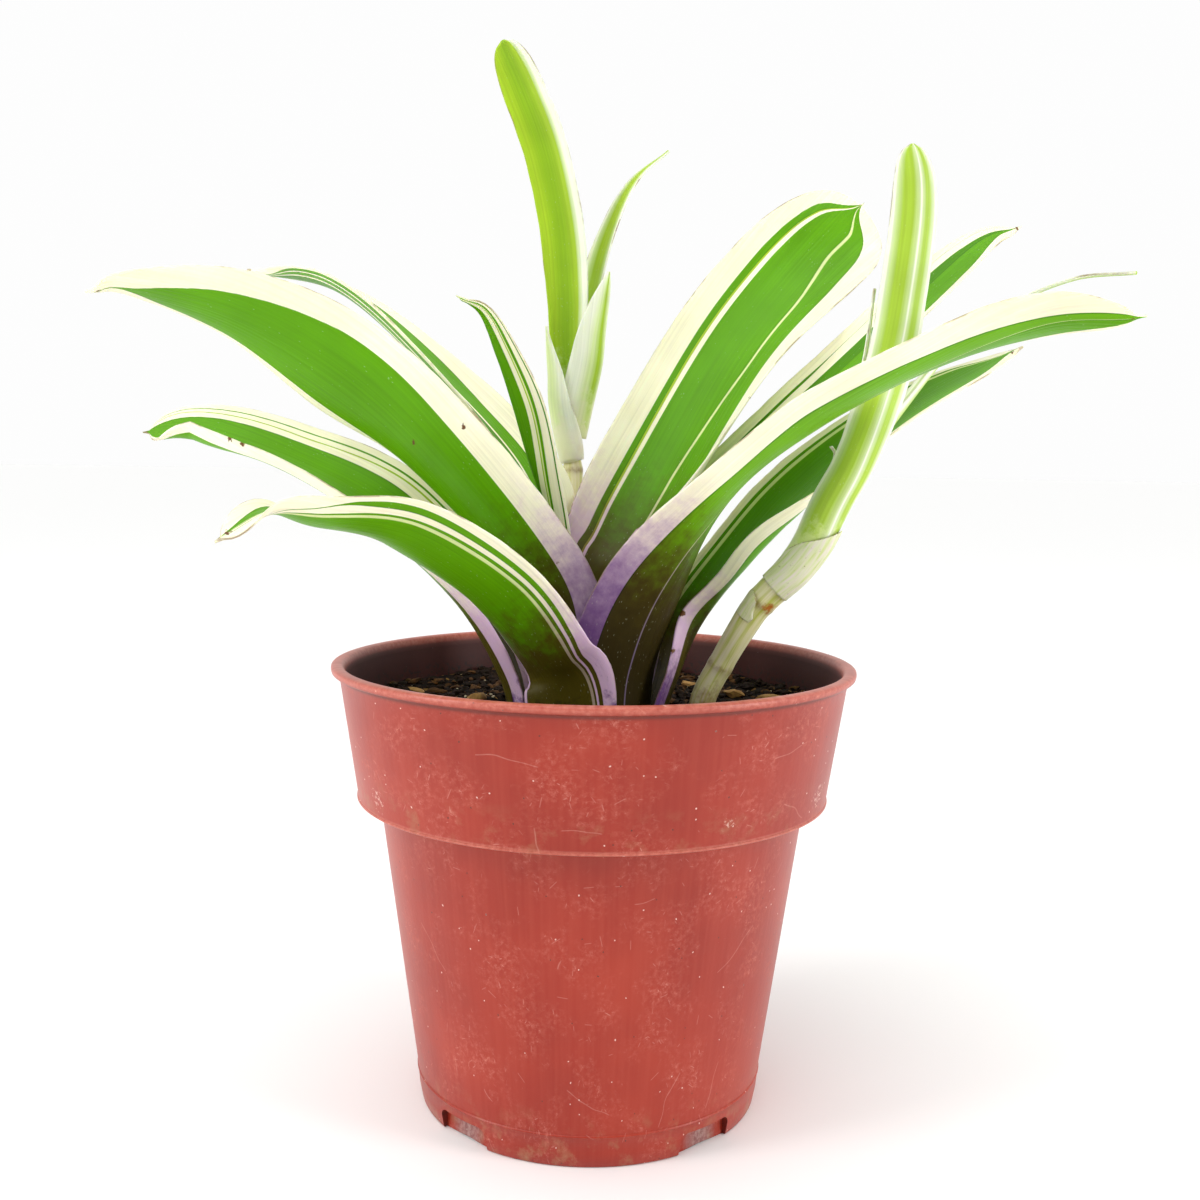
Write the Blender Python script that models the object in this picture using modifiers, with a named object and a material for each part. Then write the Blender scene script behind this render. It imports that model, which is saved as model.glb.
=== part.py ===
"""Potted neoregelia: a variegated rosette with two pups on runners, in a round plastic nursery pot.

The pot's axis is Z and the pot stands on z = 0. The plant is seen from -Y, with +X to the right.
"""
import math

import bmesh
import bpy
import numpy as np
from mathutils import Vector, noise

MM = 0.001
GAP = 0.3 * MM

# Pot, measured at its outer face
POT_HEIGHT = 89.4 * MM
LIP_RADIUS = 52.5 * MM
LIP_DEPTH = 1.7 * MM
LIP_INNER_RADIUS = 50.1 * MM
COLLAR_TOP_RADIUS = 50.9 * MM
COLLAR_FOOT_RADIUS = 47.3 * MM
SHOULDER_HEIGHT = 62.7 * MM
BODY_TOP_RADIUS = 43.0 * MM
BODY_FOOT_RADIUS = 35.3 * MM
FOOT_LINE_HEIGHT = 6.2 * MM
FOOT_RADIUS = 34.5 * MM
WALL = 1.3 * MM
FLOOR_UNDERSIDE = 1.2 * MM
FLOOR_TOP = 2.6 * MM
NOTCH_AZIMUTHS = (-43.3, 40.7, 136.7, -139.3)
NOTCH_WIDTH = 12.6 * MM
NOTCH_HEIGHT = 4.4 * MM
POT_SIDES = 48

# Potting mix
SOIL_LEVEL = 79.5 * MM
SOIL_BUMP = 1.2 * MM
HOLE_SIDES = 14
PIT_FLOOR_RADIUS = 17.6 * MM
PIT_TOP_RADIUS = 20.5 * MM
PIT_FLOOR = 75.7 * MM

# Rosette: its stem stands a little left of the pot's axis
ROSETTE_X = -2.0 * MM
STEM_RADIUS = 5.2 * MM
STEM_TOP = 88.0 * MM
STEM_FOOT = 50.0 * MM
LEAF_THICKNESS = 0.8 * MM
ROLL_RADIUS = 3.2 * MM
PUP_LEAF_THICKNESS = 0.6 * MM
PUP_NEST_PITCH = 1.05 * MM

PARTS = "potted_neoregelia"
CUTTERS = "cutters"


def start_clean():
    for ob in list(bpy.data.objects):
        bpy.data.objects.remove(ob, do_unlink=True)
    for name in (PARTS, CUTTERS):
        if name not in bpy.data.collections:
            bpy.context.scene.collection.children.link(bpy.data.collections.new(name))


def material(name, srgb, roughness):
    """A plain Principled material from a six-digit sRGB colour."""
    mat = bpy.data.materials.new(name)
    mat.use_nodes = True
    shader = mat.node_tree.nodes["Principled BSDF"]
    channels = [int(srgb[i:i + 2], 16) / 255 for i in (0, 2, 4)]
    linear = [c / 12.92 if c <= 0.04045 else ((c + 0.055) / 1.055) ** 2.4 for c in channels]
    shader.inputs["Base Color"].default_value = (*linear, 1)
    shader.inputs["Roughness"].default_value = roughness
    shader.inputs["Metallic"].default_value = 0
    mat.diffuse_color = (*linear, 1)
    return mat


def add_object(name, mesh, mat=None, collection=PARTS):
    ob = bpy.data.objects.new(name, mesh)
    bpy.data.collections[collection].objects.link(ob)
    if mat:
        mesh.materials.append(mat)
    if collection == CUTTERS:
        ob.hide_render = True
        ob.display_type = "WIRE"
    return ob


def smooth(ob, angle=40):
    """Shades the faces smooth and keeps edges sharper than the angle, in degrees, as they are."""
    ob.data.shade_smooth()
    ob.data.set_sharp_from_angle(angle=math.radians(angle))


def turned(name, profile, steps, mat=None, collection=PARTS):
    """A solid turned about Z from (radius, height) points that run down its outer side."""
    mesh = bpy.data.meshes.new(name)
    points = [(r, 0, z) for r, z in profile]
    mesh.from_pydata(points, [(i, i + 1) for i in range(len(points) - 1)], [])
    ob = add_object(name, mesh, mat, collection)
    screw = ob.modifiers.new("turn", "SCREW")
    screw.axis = "Z"
    screw.angle = 2 * math.pi
    screw.steps = steps
    screw.render_steps = steps
    screw.use_merge_vertices = True
    screw.merge_threshold = 0.00002
    screw.use_smooth_shade = False
    return ob


def apply_modifiers(ob):
    """Bakes an object's modifiers into its mesh, with the axis points welded."""
    graph = bpy.context.evaluated_depsgraph_get()
    mesh = bpy.data.meshes.new_from_object(ob.evaluated_get(graph))
    ob.modifiers.clear()
    ob.data = mesh
    bm = bmesh.new()
    bm.from_mesh(mesh)
    bmesh.ops.remove_doubles(bm, verts=bm.verts, dist=0.00002)
    bm.to_mesh(mesh)
    bm.free()


def cut(ob, cutter):
    boolean = ob.modifiers.new("cut " + cutter.name, "BOOLEAN")
    boolean.operation = "DIFFERENCE"
    boolean.solver = "EXACT"
    boolean.object = cutter


def pot_profile():
    """From the middle of the floor up the inside, over the lip and down the outside to the underside."""
    inner_shoulder = SHOULDER_HEIGHT + 0.9 * MM
    lip_foot = POT_HEIGHT - LIP_DEPTH
    return [
        (0, FLOOR_TOP),
        (FOOT_RADIUS - WALL - 0.9 * MM, FLOOR_TOP),
        (FOOT_RADIUS - WALL, FLOOR_TOP + 0.9 * MM),
        (BODY_FOOT_RADIUS - WALL, 8 * MM),
        (BODY_TOP_RADIUS - WALL, inner_shoulder),
        (COLLAR_FOOT_RADIUS - WALL, inner_shoulder + 0.6 * MM),
        (COLLAR_TOP_RADIUS - WALL, lip_foot),
        (LIP_INNER_RADIUS - 0.2 * MM, POT_HEIGHT - 0.6 * MM),
        (LIP_INNER_RADIUS + 0.4 * MM, POT_HEIGHT),
        (LIP_RADIUS - 0.8 * MM, POT_HEIGHT),
        (LIP_RADIUS - 0.2 * MM, POT_HEIGHT - 0.35 * MM),
        (LIP_RADIUS, POT_HEIGHT - 0.9 * MM),
        (LIP_RADIUS - 0.25 * MM, lip_foot + 0.2 * MM),
        (LIP_RADIUS - 0.8 * MM, lip_foot),
        (COLLAR_TOP_RADIUS, lip_foot - 0.3 * MM),
        (COLLAR_FOOT_RADIUS, SHOULDER_HEIGHT + 0.4 * MM),
        (COLLAR_FOOT_RADIUS - 0.4 * MM, SHOULDER_HEIGHT),
        (BODY_TOP_RADIUS + 0.3 * MM, SHOULDER_HEIGHT),
        (BODY_TOP_RADIUS, SHOULDER_HEIGHT - 0.4 * MM),
        (BODY_FOOT_RADIUS, FOOT_LINE_HEIGHT + 0.3 * MM),
        (BODY_FOOT_RADIUS + 0.2 * MM, FOOT_LINE_HEIGHT),
        (FOOT_RADIUS, 0),
        (FOOT_RADIUS - 1.6 * MM, 0),
        (FOOT_RADIUS - 1.7 * MM, FLOOR_UNDERSIDE),
        (0, FLOOR_UNDERSIDE),
    ]


def make_pot():
    pot = turned("pot", pot_profile(), POT_SIDES, material("terracotta_red_plastic", "C0503F", 0.38))
    apply_modifiers(pot)
    reach = 6 * MM
    for number, azimuth in enumerate(NOTCH_AZIMUTHS, 1):
        bpy.ops.mesh.primitive_cube_add(size=1)
        cutter = bpy.context.object
        cutter.name = f"notch_cutter_{number}"
        size = Vector((NOTCH_WIDTH, reach, 2 * NOTCH_HEIGHT))
        for vert in cutter.data.vertices:
            vert.co = Vector(a * b for a, b in zip(vert.co, size))
        for collection in list(cutter.users_collection):
            collection.objects.unlink(cutter)
        bpy.data.collections[CUTTERS].objects.link(cutter)
        cutter.hide_render = True
        cutter.display_type = "WIRE"
        turn = math.radians(azimuth)
        radius = FOOT_RADIUS - 1.5 * MM + reach / 2
        cutter.location = (radius * math.sin(turn), -radius * math.cos(turn), 0)
        cutter.rotation_euler = (0, 0, turn)
        round_corners = cutter.modifiers.new("round corners", "BEVEL")
        round_corners.width = 1.6 * MM
        round_corners.segments = 2
        round_corners.limit_method = "ANGLE"
        cut(pot, cutter)
    smooth(pot)
    return pot


def soil_profile():
    """The filling follows the pot's inner face one gap away, from the middle of its top down to its base."""
    inner_shoulder = SHOULDER_HEIGHT + 0.9 * MM
    side = COLLAR_TOP_RADIUS - WALL - GAP
    lean = (COLLAR_TOP_RADIUS - COLLAR_FOOT_RADIUS) / (POT_HEIGHT - SHOULDER_HEIGHT)
    edge = side - lean * (POT_HEIGHT - LIP_DEPTH - SOIL_LEVEL)
    rings = [edge * k / 9 for k in range(10)]
    top = [(r, SOIL_LEVEL) for r in rings]
    return top + [
        (edge - 0.5 * MM, SOIL_LEVEL - 3 * MM),
        (COLLAR_FOOT_RADIUS - WALL - GAP, inner_shoulder + 0.95 * MM),
        (BODY_TOP_RADIUS - WALL - GAP - 0.1 * MM, inner_shoulder + 0.35 * MM),
        (BODY_FOOT_RADIUS - WALL - GAP - 0.1 * MM, 8 * MM),
        (FOOT_RADIUS - WALL - 1.4 * MM, FLOOR_TOP + GAP),
        (0, FLOOR_TOP + GAP),
    ]


def roughen_top(ob):
    """Low lumps on the soil's top, flat at the wall so that the gap to the pot stays."""
    for vert in ob.data.vertices:
        if abs(vert.co.z - SOIL_LEVEL) > 0.01 * MM:
            continue
        radius = vert.co.xy.length
        fade = min(1, max(0, (46 * MM - radius) / (8 * MM)))
        lump = noise.fractal(vert.co * 70 + Vector((3.1, 0.4, 7.7)), 0.8, 2.0, 3)
        vert.co.z += SOIL_BUMP * fade * lump


def stem_hole(name, foot, head, radius):
    """A plain straight hole from below a stem's foot to above the soil."""
    foot, head = Vector(foot), Vector(head)
    direction = (head - foot).normalized()
    low, high = foot - direction * 0.6 * MM, head + direction * 8 * MM
    bm = bmesh.new()
    bmesh.ops.create_cone(bm, cap_ends=True, segments=HOLE_SIDES, radius1=radius, radius2=radius,
                          depth=(high - low).length)
    mesh = bpy.data.meshes.new(name)
    bm.to_mesh(mesh)
    bm.free()
    ob = add_object(name, mesh, collection=CUTTERS)
    ob.location = (low + high) / 2
    ob.rotation_mode = "QUATERNION"
    ob.rotation_quaternion = Vector((0, 0, 1)).rotation_difference(direction)
    return ob


def make_soil(runner_feet):
    soil = turned("soil", soil_profile(), POT_SIDES, material("bark_and_peat_mix", "2E241B", 0.95))
    apply_modifiers(soil)
    roughen_top(soil)
    top = SOIL_LEVEL + 20 * MM
    hole = STEM_RADIUS + GAP
    pit = turned("rosette_pit_cutter", [(0, top), (PIT_TOP_RADIUS, top),
                                        (PIT_TOP_RADIUS, SOIL_LEVEL + 1.5 * MM), (PIT_FLOOR_RADIUS, PIT_FLOOR),
                                        (hole, PIT_FLOOR), (hole, STEM_FOOT - GAP),
                                        (0, STEM_FOOT - GAP)], 32, collection=CUTTERS)
    apply_modifiers(pit)
    pit.location.x = ROSETTE_X
    cut(soil, pit)
    for name, (foot, head, radius) in runner_feet.items():
        cut(soil, stem_hole(name + "_hole_cutter", foot, head, radius))
    smooth(soil, 60)
    return soil


def make_rootstock():
    """The short woody stem inside the rosette: it tapers a little down to its foot in the soil."""
    profile = [(0, STEM_TOP), (2.4 * MM, STEM_TOP - 0.3 * MM), (4.2 * MM, STEM_TOP - 1.8 * MM),
               (STEM_RADIUS - 0.1 * MM, STEM_TOP - 4 * MM), (STEM_RADIUS, STEM_TOP - 8 * MM),
               (STEM_RADIUS, 70 * MM), (4.6 * MM, STEM_FOOT + 1.5 * MM), (3.4 * MM, STEM_FOOT), (0, STEM_FOOT)]
    stem = turned("rootstock", profile, 20, material("brown_rootstock", "6A5236", 0.8))
    apply_modifiers(stem)
    stem.location.x = ROSETTE_X
    smooth(stem)
    return stem


def through(points, count):
    """Catmull-Rom samples through rows of numbers, ends included."""
    points = np.asarray(points, float)
    ends = np.vstack([2 * points[0] - points[1], points, 2 * points[-1] - points[-2]])
    spans = len(points) - 1
    rows = []
    for u in np.linspace(0, spans, count):
        k = min(int(u), spans - 1)
        f = u - k
        a, b, c, d = ends[k:k + 4]
        rows.append(0.5 * (2 * b + (c - a) * f + (2 * a - 5 * b + 4 * c - d) * f ** 2
                           + (3 * b - a - 3 * c + d) * f ** 3))
    return np.array(rows)


class LeafShape:
    """A channelled strap leaf. u runs from its foot (0) to its tip (1), v across it from -1 to 1.

    Each row of the route is x, y, z of the keel, the azimuth that the leaf leans to, its twist in degrees,
    the radius that its section is bent to and how much of a margin is rolled in. Lengths are in millimetres.
    """

    def __init__(self, route, width, foot, sheath=0.35, blunt=4.5, taper=0.6, wave=0.0):
        self.rows = through(route, 201)
        steps = np.linalg.norm(np.diff(self.rows[:, :3], axis=0), axis=1)
        self.length = steps.sum()
        self.along = np.concatenate([[0], np.cumsum(steps)]) / self.length
        self.tangents = np.gradient(self.rows[:, :3], axis=0)
        self.width = width
        self.foot = foot
        self.sheath = sheath
        self.blunt = blunt
        self.taper = taper
        self.wave = wave

    def at(self, table, u):
        return np.array([np.interp(u, self.along, table[:, k]) for k in range(table.shape[1])])

    def half_width(self, u):
        tip = (1 - u ** self.blunt) ** self.taper
        spread = 1 + (self.foot - 1) * max(0, 1 - u / self.sheath) ** 1.5
        return max(0.5, 0.5 * self.width * tip * spread)

    def section(self, u, v, bend, rolled):
        """How far across and up from its keel the section is at v: an arc, tighter in a rolled margin."""
        half = self.half_width(u)
        margin = min(abs(rolled), 0.85 * half) if rolled * v > 0 else 0
        turn = min(half * abs(v), half - margin) / bend
        tight = ROLL_RADIUS / MM
        end = turn + max(0, half * (abs(v) - 1) + margin) / tight
        across = bend * math.sin(turn) + tight * (math.sin(end) - math.sin(turn))
        up = bend * (1 - math.cos(turn)) + tight * (math.cos(turn) - math.cos(end))
        return math.copysign(across, v), up

    def point(self, u, v):
        x, y, z, azimuth, twist, bend, rolled = self.at(self.rows, u)
        tangent = Vector(self.at(self.tangents, u)).normalized()
        side = Vector((math.cos(math.radians(azimuth)), math.sin(math.radians(azimuth)), 0))
        side = (side - tangent * tangent.dot(side)).normalized()
        inward = tangent.cross(side)
        turn = math.radians(twist)
        across = side * math.cos(turn) + inward * math.sin(turn)
        up = inward * math.cos(turn) - side * math.sin(turn)
        aside, raised = self.section(u, v, bend, rolled)
        ripple = self.wave * v ** 3 * math.sin(self.length * u / 7) * min(1, 4 * u) * (1 - u)
        return Vector((x, y, z)) + across * aside + up * (raised + ripple)


def make_leaf(name, shape, colour, rows, columns, thickness):
    """Lays a grid on the leaf's shape, splits it into triangles and gives it its thickness."""
    bm = bmesh.new()
    bmesh.ops.create_grid(bm, x_segments=columns, y_segments=rows, size=1)
    for vert in bm.verts:
        u = 0.5 * (vert.co.y + 1)
        u += 0.12 * math.sin(math.pi * u) * u
        vert.co = shape.point(u, vert.co.x) * MM
    bmesh.ops.triangulate(bm, faces=bm.faces)
    mesh = bpy.data.meshes.new(name)
    bm.to_mesh(mesh)
    bm.free()
    ob = add_object(name, mesh, material(name + "_green", colour, 0.32))
    shell = ob.modifiers.new("blade thickness", "SOLIDIFY")
    shell.thickness = thickness
    shell.offset = 0
    smooth(ob, 50)
    return ob


# Each rosette leaf: stations from its foot to its tip, then width, foot width ratio, bluntness, taper and
# edge wave. A station is the azimuth that the leaf leans to, its distance from the rosette's axis, its height,
# its twist in degrees and the radius its section is bent to: the nest's in the sheath, the channel's above.
# A sixth number is the width of a rolled margin, the left one's where it is negative.
ROSETTE = {
    "leaf_centre": ([(-80, 6.1, 76.2, 0, 6.1), (-80, 6.2, 98, 0, 6.2), (-78, 6.2, 113, 4, 6.1),
                     (-76, 9.0, 126, 23, 9), (-76, 12.3, 139.9, 43, 12), (-76, 17.2, 151.8, 45, 12),
                     (-76, 20.9, 158.3, 50, 13), (-76, 25.2, 160.4, 48, 13)], 10.9, 1.9, 3, 0.7, 0),
    "leaf_back_right": ([(142, 7.3, 76.2, 0, 7.3), (142, 7.5, 95, 0, 7.5), (140, 8.8, 107, 6, 8.6),
                         (136, 15.9, 115.5, 8, 11.5), (133, 41.6, 150.8, 14, 22), (130.5, 61, 172, 33, 27),
                         (130, 82.4, 190.6, 62, 28)], 34, 0.77, 9, 0.5, 0.3),
    "leaf_right_high": ([(115, 8.5, 76.2, 0, 8.5), (115, 9.1, 92, 0, 8.9), (112, 14.5, 106.8, 0, 10),
                         (109, 28.2, 122.5, 9, 15), (108.5, 46, 139.6, 13, 15.5), (108.5, 61, 153, 17, 16),
                         (108.5, 87.5, 177, 36, 16.5), (108.5, 98.5, 182, 46, 16.5)], 20, 1.2, 4, 0.65, 0.3),
    "leaf_back_left": ([(-118, 9.7, 76.2, 0, 9.7), (-118, 10.3, 92, 0, 10.2), (-116, 11.8, 111, 0, 12),
                        (-115, 15.2, 127, -3, 15), (-115, 36.4, 148, 6, 16), (-115, 60.1, 165.5, 9, 17),
                        (-115, 84, 171, 0, 17)], 23.5, 1.1, 4.5, 0.6, 0.3),
    "leaf_left": ([(-45, 10.9, 76.2, 0, 10.9), (-45, 11.4, 92, 2, 11.4), (-58, 14, 107, 15, 13),
                   (-69, 33.5, 130.8, 32, 15), (-73, 49.6, 145, 53, 16), (-74, 68.1, 155.2, 36, 16.5),
                   (-74, 86.6, 159.5, 18, 16.5), (-74, 92.2, 158.5, 12, 16.5)], 27, 1.05, 4.5, 0.6, 0.3),
    "leaf_right_front": ([(38, 13.2, 76.2, 0, 13.2), (40, 13.9, 89, -3, 13.8), (49, 19.4, 105, -9, 15),
                          (59, 32, 123.8, 7, 15), (65, 46.6, 136.4, -1, 15.5), (66, 66, 147, -8, 16),
                          (66, 85.8, 154.6, -28, 16.5), (66, 101, 154.9, -44, 16.5)],
                         24.6, 1.1, 4, 0.65, 0.3),
    "leaf_right_low": ([(97, 16, 76.2, 0, 16), (98, 18.3, 84.4, -0.5, 16), (102, 23.7, 96.5, 3.5, 7.7, -0.7),
                        (104.5, 34.5, 110.9, 10.4, 14.5, -6.2), (105.5, 49.5, 126.1, 16.8, 17.6, -2.7),
                        (105.5, 69.9, 141.2, 16.2, 18.6, -1.1), (105.5, 96.8, 155.3, 15.2, 19)],
                       21.8, 1.2, 4, 0.65, 0.3),
    "leaf_left_low": ([(-97, 14.8, 76.2, 0, 14.8), (-97, 17, 85.6, 1.6, 15, 1.0),
                       (-97, 25.9, 101.6, -8.6, 15.8, 3.2), (-96.5, 43, 118.7, -23.4, 16.1, 3.3),
                       (-96, 64.3, 129.5, -18.8, 16.1, 3.4),
                       (-96, 81.8, 134.4, -37.5, 15, 7.1), (-96, 91.4, 134.2, -63.3, 14, 6)],
                      28.5, 0.85, 4.5, 0.6, 0.3),
    "leaf_front_left": ([(-10, 15.9, 76.2, 0, 15.9), (-12, 16.8, 86, -3, 16), (-22, 19.3, 91.8, -8, 15.5),
                         (-36, 28.8, 104.6, 11, 15), (-48, 43.8, 115.2, 19, 15.5), (-53, 58.4, 118, 14, 11),
                         (-54, 66.8, 119.8, 0, 8.5), (-54, 75, 115.6, -28, 9)], 21.6, 0.86, 4.5, 0.6, 0.6),
}


def rosette_route(stations):
    """Turns a rosette leaf's stations into the rows of a route, in millimetres."""
    route = []
    for azimuth, out, up, twist, bend, *rolled in stations:
        turn = math.radians(azimuth)
        x = ROSETTE_X / MM + out * math.sin(turn)
        route.append((x, -out * math.cos(turn), up, azimuth, twist, bend, *(rolled or [0])))
    return route


def make_rosette():
    for name, (stations, width, foot, blunt, taper, wave) in ROSETTE.items():
        shape = LeafShape(rosette_route(stations), width, foot, 0.35, blunt, taper, wave)
        rolled = any(row[6] for row in shape.rows)
        make_leaf(name, shape, "4E9A18", 21, 12 if rolled else 8, LEAF_THICKNESS)


def make_runner(name, route, colour):
    """A stolon: a round stem along x, y, z, radius stations, with filled ends."""
    curve = bpy.data.curves.new(name, "CURVE")
    curve.dimensions = "3D"
    curve.bevel_depth = 1 * MM
    curve.bevel_resolution = 3
    curve.use_fill_caps = True
    samples = through(route, 19)
    spline = curve.splines.new("POLY")
    spline.points.add(len(samples) - 1)
    for point, (x, y, z, radius) in zip(spline.points, samples):
        point.co = (x * MM, y * MM, z * MM, 1)
        point.radius = radius
    source = bpy.data.objects.new(name + "_curve", curve)
    bpy.data.collections[PARTS].objects.link(source)
    graph = bpy.context.evaluated_depsgraph_get()
    mesh = bpy.data.meshes.new_from_object(source.evaluated_get(graph))
    bpy.data.objects.remove(source, do_unlink=True)
    bm = bmesh.new()
    bm.from_mesh(mesh)
    bmesh.ops.remove_doubles(bm, verts=bm.verts, dist=0.00002)
    bmesh.ops.recalc_face_normals(bm, faces=bm.faces)
    bm.to_mesh(mesh)
    bm.free()
    mesh.name = name
    mesh.materials.clear()
    ob = add_object(name, mesh, material(name + "_pale_green", colour, 0.4))
    smooth(ob)
    return ob


# Runners: x, y, z and radius of the stem, in millimetres, from the foot in the soil up
RUNNER_BACK = [(-2.6, 20.0, 62, 2.4), (-2.85, 20.6, 72, 2.4), (-3.1, 21.2, 82, 2.4), (-3.7, 22.6, 95, 2.4),
               (-4.5, 24.2, 109, 2.3), (-5.1, 25.4, 121, 2.1), (-5.4, 26.0, 127.6, 1.9),
               (-5.5, 26.2, 130, 1.2)]
RUNNER_RIGHT = [(19.8, -0.8, 62, 2.5), (21.0, -1.4, 72, 2.55), (22.2, -2.0, 82, 2.6), (26.0, -3.0, 90.2, 2.6),
                (28.7, -4.0, 95.5, 2.75), (31.7, -5.0, 100.8, 2.95), (34.7, -6.0, 104.4, 3.1),
                (37.0, -6.6, 106.6, 3.0), (38.4, -6.85, 108.1, 2.0), (40.2, -7.05, 110.5, 1.2)]

# Nests of the pups' sheaths: x, y, z of the middle and the outer radius, in millimetres
NEST_BACK = [(-5.5, 26.2, 129, 2.8), (-5.6, 26.6, 134.5, 4.1), (-5.5, 27.0, 142, 5.6)]
NEST_RIGHT = [(39.0, -7.0, 108.9, 3.4), (42.3, -7.3, 113.9, 3.8), (45.6, -7.5, 121.8, 4.3),
              (49.3, -7.4, 129.6, 4.8)]

# Each pup leaf: its nest, its layer there from the outside in, the nest rows that it runs through (the second
# number is one past the last), the azimuth that its keel faces, the free x, y, z stations above the nest, the
# blade's bend radius, width, foot width ratio, sheath share, bluntness and taper
PUPS = {
    "back_bract_left": (NEST_BACK, 0, 0, 3, -60, [(-10.4, 24.2, 149.5), (-11.4, 23.0, 158.5)],
                        6, 12.6, 1.0, 0.5, 2, 1),
    "back_bract_right": (NEST_BACK, 1, 1, 3, 58, [(-0.2, 24.6, 150.5), (0.4, 24.6, 158), (1.2, 24.8, 165),
                                                  (1.8, 25, 170.5)], 5, 16.6, 0.76, 0.5, 2.2, 0.75),
    "back_leaf_side": (NEST_BACK, 2, 2, 3, 134, [(-3.3, 30.1, 152), (-1.4, 33.2, 168), (2.1, 33.6, 181),
                                                 (7.2, 34.0, 191.5), (14.7, 34.4, 198.2)],
                       6, 9.0, 0.66, 0.4, 2.2, 0.8),
    "back_leaf_tall": (NEST_BACK, 3, 2, 3, 172, [(-6.6, 29.0, 153), (-7.0, 29.6, 166), (-8.5, 30.6, 181),
                                                 (-12.1, 30.6, 197), (-17.2, 29.8, 210), (-21.7, 28.4, 219.5)],
                       9, 10.5, 0.6, 0.45, 16, 0.5),
    "right_bract": (NEST_RIGHT, 1, 1, 4, -120, [(45.8, -5.4, 133.2)], 3, 7, 1, 0.5, 2.4, 0.8),
    "right_leaf_tall": (NEST_RIGHT, 0, 0, 4, 5, [(53.7, -10.6, 140.5), (57.0, -8.6, 152), (59.0, -7.2, 164),
                                                 (60.3, -6.6, 176), (60.4, -6.0, 184), (59.5, -5.2, 191)],
                        9, 10.0, 1.45, 0.32, 18, 0.5),
    "right_leaf_side": (NEST_RIGHT, 2, 2, 4, 88, [(60.6, -3.2, 141), (67.6, -8.6, 151.4),
                                                  (75.8, -17.8, 159.0), (84.0, -27.4, 162.8),
                                                  (91.6, -36.0, 162.8)],
                        5.5, 7.4, 0.68, 0.35, 2.5, 0.8),
    "right_bract_tip": (NEST_RIGHT, 2, 2, 4, -116, [(50.1, -3.0, 140), (52.4, -2.6, 151), (53.8, -2.8, 164)],
                        4, 4.4, 1.0, 0.5, 2.5, 0.8),
}


def pup_route(nest, layer, first, last, facing, stations, blade_bend):
    """A pup leaf's rows: in the nest its keel stands off the middle by its layer's radius, above it is free."""
    turn = math.radians(facing)
    away = Vector((math.sin(turn), -math.cos(turn), 0))
    middles = [Vector(row[:3]) for row in nest]
    route = []
    for k in range(first, last):
        along = (middles[min(k + 1, len(nest) - 1)] - middles[max(k - 1, 0)]).normalized()
        radius = nest[k][3] - (0.5 * PUP_LEAF_THICKNESS + layer * PUP_NEST_PITCH) / MM
        keel = middles[k] + (away - along * away.dot(along)).normalized() * radius
        route.append((*keel, facing, 0, radius, 0))
    bends = np.interp(range(1, len(stations) + 1), (0, 2), (route[-1][5], blade_bend))
    return route + [(*point, facing, 0, bend, 0) for point, bend in zip(stations, bends)]


def make_pups():
    for name, (nest, layer, first, last, facing, stations, bend, *outline) in PUPS.items():
        route = pup_route(nest, layer, first, last, facing, stations, bend)
        shape = LeafShape(route, *outline)
        rows = max(9, round(shape.length / 4.6))
        make_leaf(name, shape, "D9E6AE" if "bract" in name else "A6CF45", rows, 6, PUP_LEAF_THICKNESS)


def runner_hole(route):
    """A runner's hole in the soil: the line from its first to its third station, and its radius with the gap."""
    foot, head = route[0], route[2]
    radius = (max(foot[3], head[3]) * MM + GAP) / math.cos(math.pi / HOLE_SIDES)
    return [c * MM for c in foot[:3]], [c * MM for c in head[:3]], radius


start_clean()
make_pot()
make_soil({"runner_back": runner_hole(RUNNER_BACK), "runner_right": runner_hole(RUNNER_RIGHT)})
make_rootstock()
make_rosette()
make_runner("runner_back", RUNNER_BACK, "C2C78A")
make_runner("runner_right", RUNNER_RIGHT, "B9BE7C")
make_pups()
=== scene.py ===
"""A variegated neoregelia with two pups on runners, growing in a terracotta-red plastic nursery pot.

Lengths are written in millimetres and turned to metres where a mesh is made. The pot's axis is Z, and the
plant is seen from -Y.
"""
import functools
import math

import bmesh
import bpy
import numpy as np
from mathutils import Matrix, Vector, noise


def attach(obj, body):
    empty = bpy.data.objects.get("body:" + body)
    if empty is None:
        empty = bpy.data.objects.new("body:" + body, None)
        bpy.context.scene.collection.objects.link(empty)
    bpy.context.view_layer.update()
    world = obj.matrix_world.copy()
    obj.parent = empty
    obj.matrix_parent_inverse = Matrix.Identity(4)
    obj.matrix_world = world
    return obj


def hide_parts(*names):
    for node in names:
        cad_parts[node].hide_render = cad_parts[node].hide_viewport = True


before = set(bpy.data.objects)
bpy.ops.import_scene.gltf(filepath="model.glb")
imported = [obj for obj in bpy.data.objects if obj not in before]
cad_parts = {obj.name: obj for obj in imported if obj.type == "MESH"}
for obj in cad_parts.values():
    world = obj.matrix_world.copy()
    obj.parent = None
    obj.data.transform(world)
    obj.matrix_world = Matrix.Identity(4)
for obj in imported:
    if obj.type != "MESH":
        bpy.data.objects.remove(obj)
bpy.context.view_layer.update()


# Viewpoint
# The plant stands at eye level of somebody sitting at a table: a normal lens, a little under 40 mm, held
# level with the leaves, tipped 5.8 degrees down and turned 0.9 degrees in its own plane.
MM = 0.001
lens_place = Vector((1.006, -264.12, 128.47)) * MM
lens_tip = math.radians(5.793)
lens_roll = math.radians(0.878)
looking = Vector((0, math.cos(lens_tip), -math.sin(lens_tip)))
level = Vector((1, 0, 0))
upright = level.cross(looking)
rolled_level = level * math.cos(lens_roll) + upright * math.sin(lens_roll)
rolled_upright = upright * math.cos(lens_roll) - level * math.sin(lens_roll)
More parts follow.
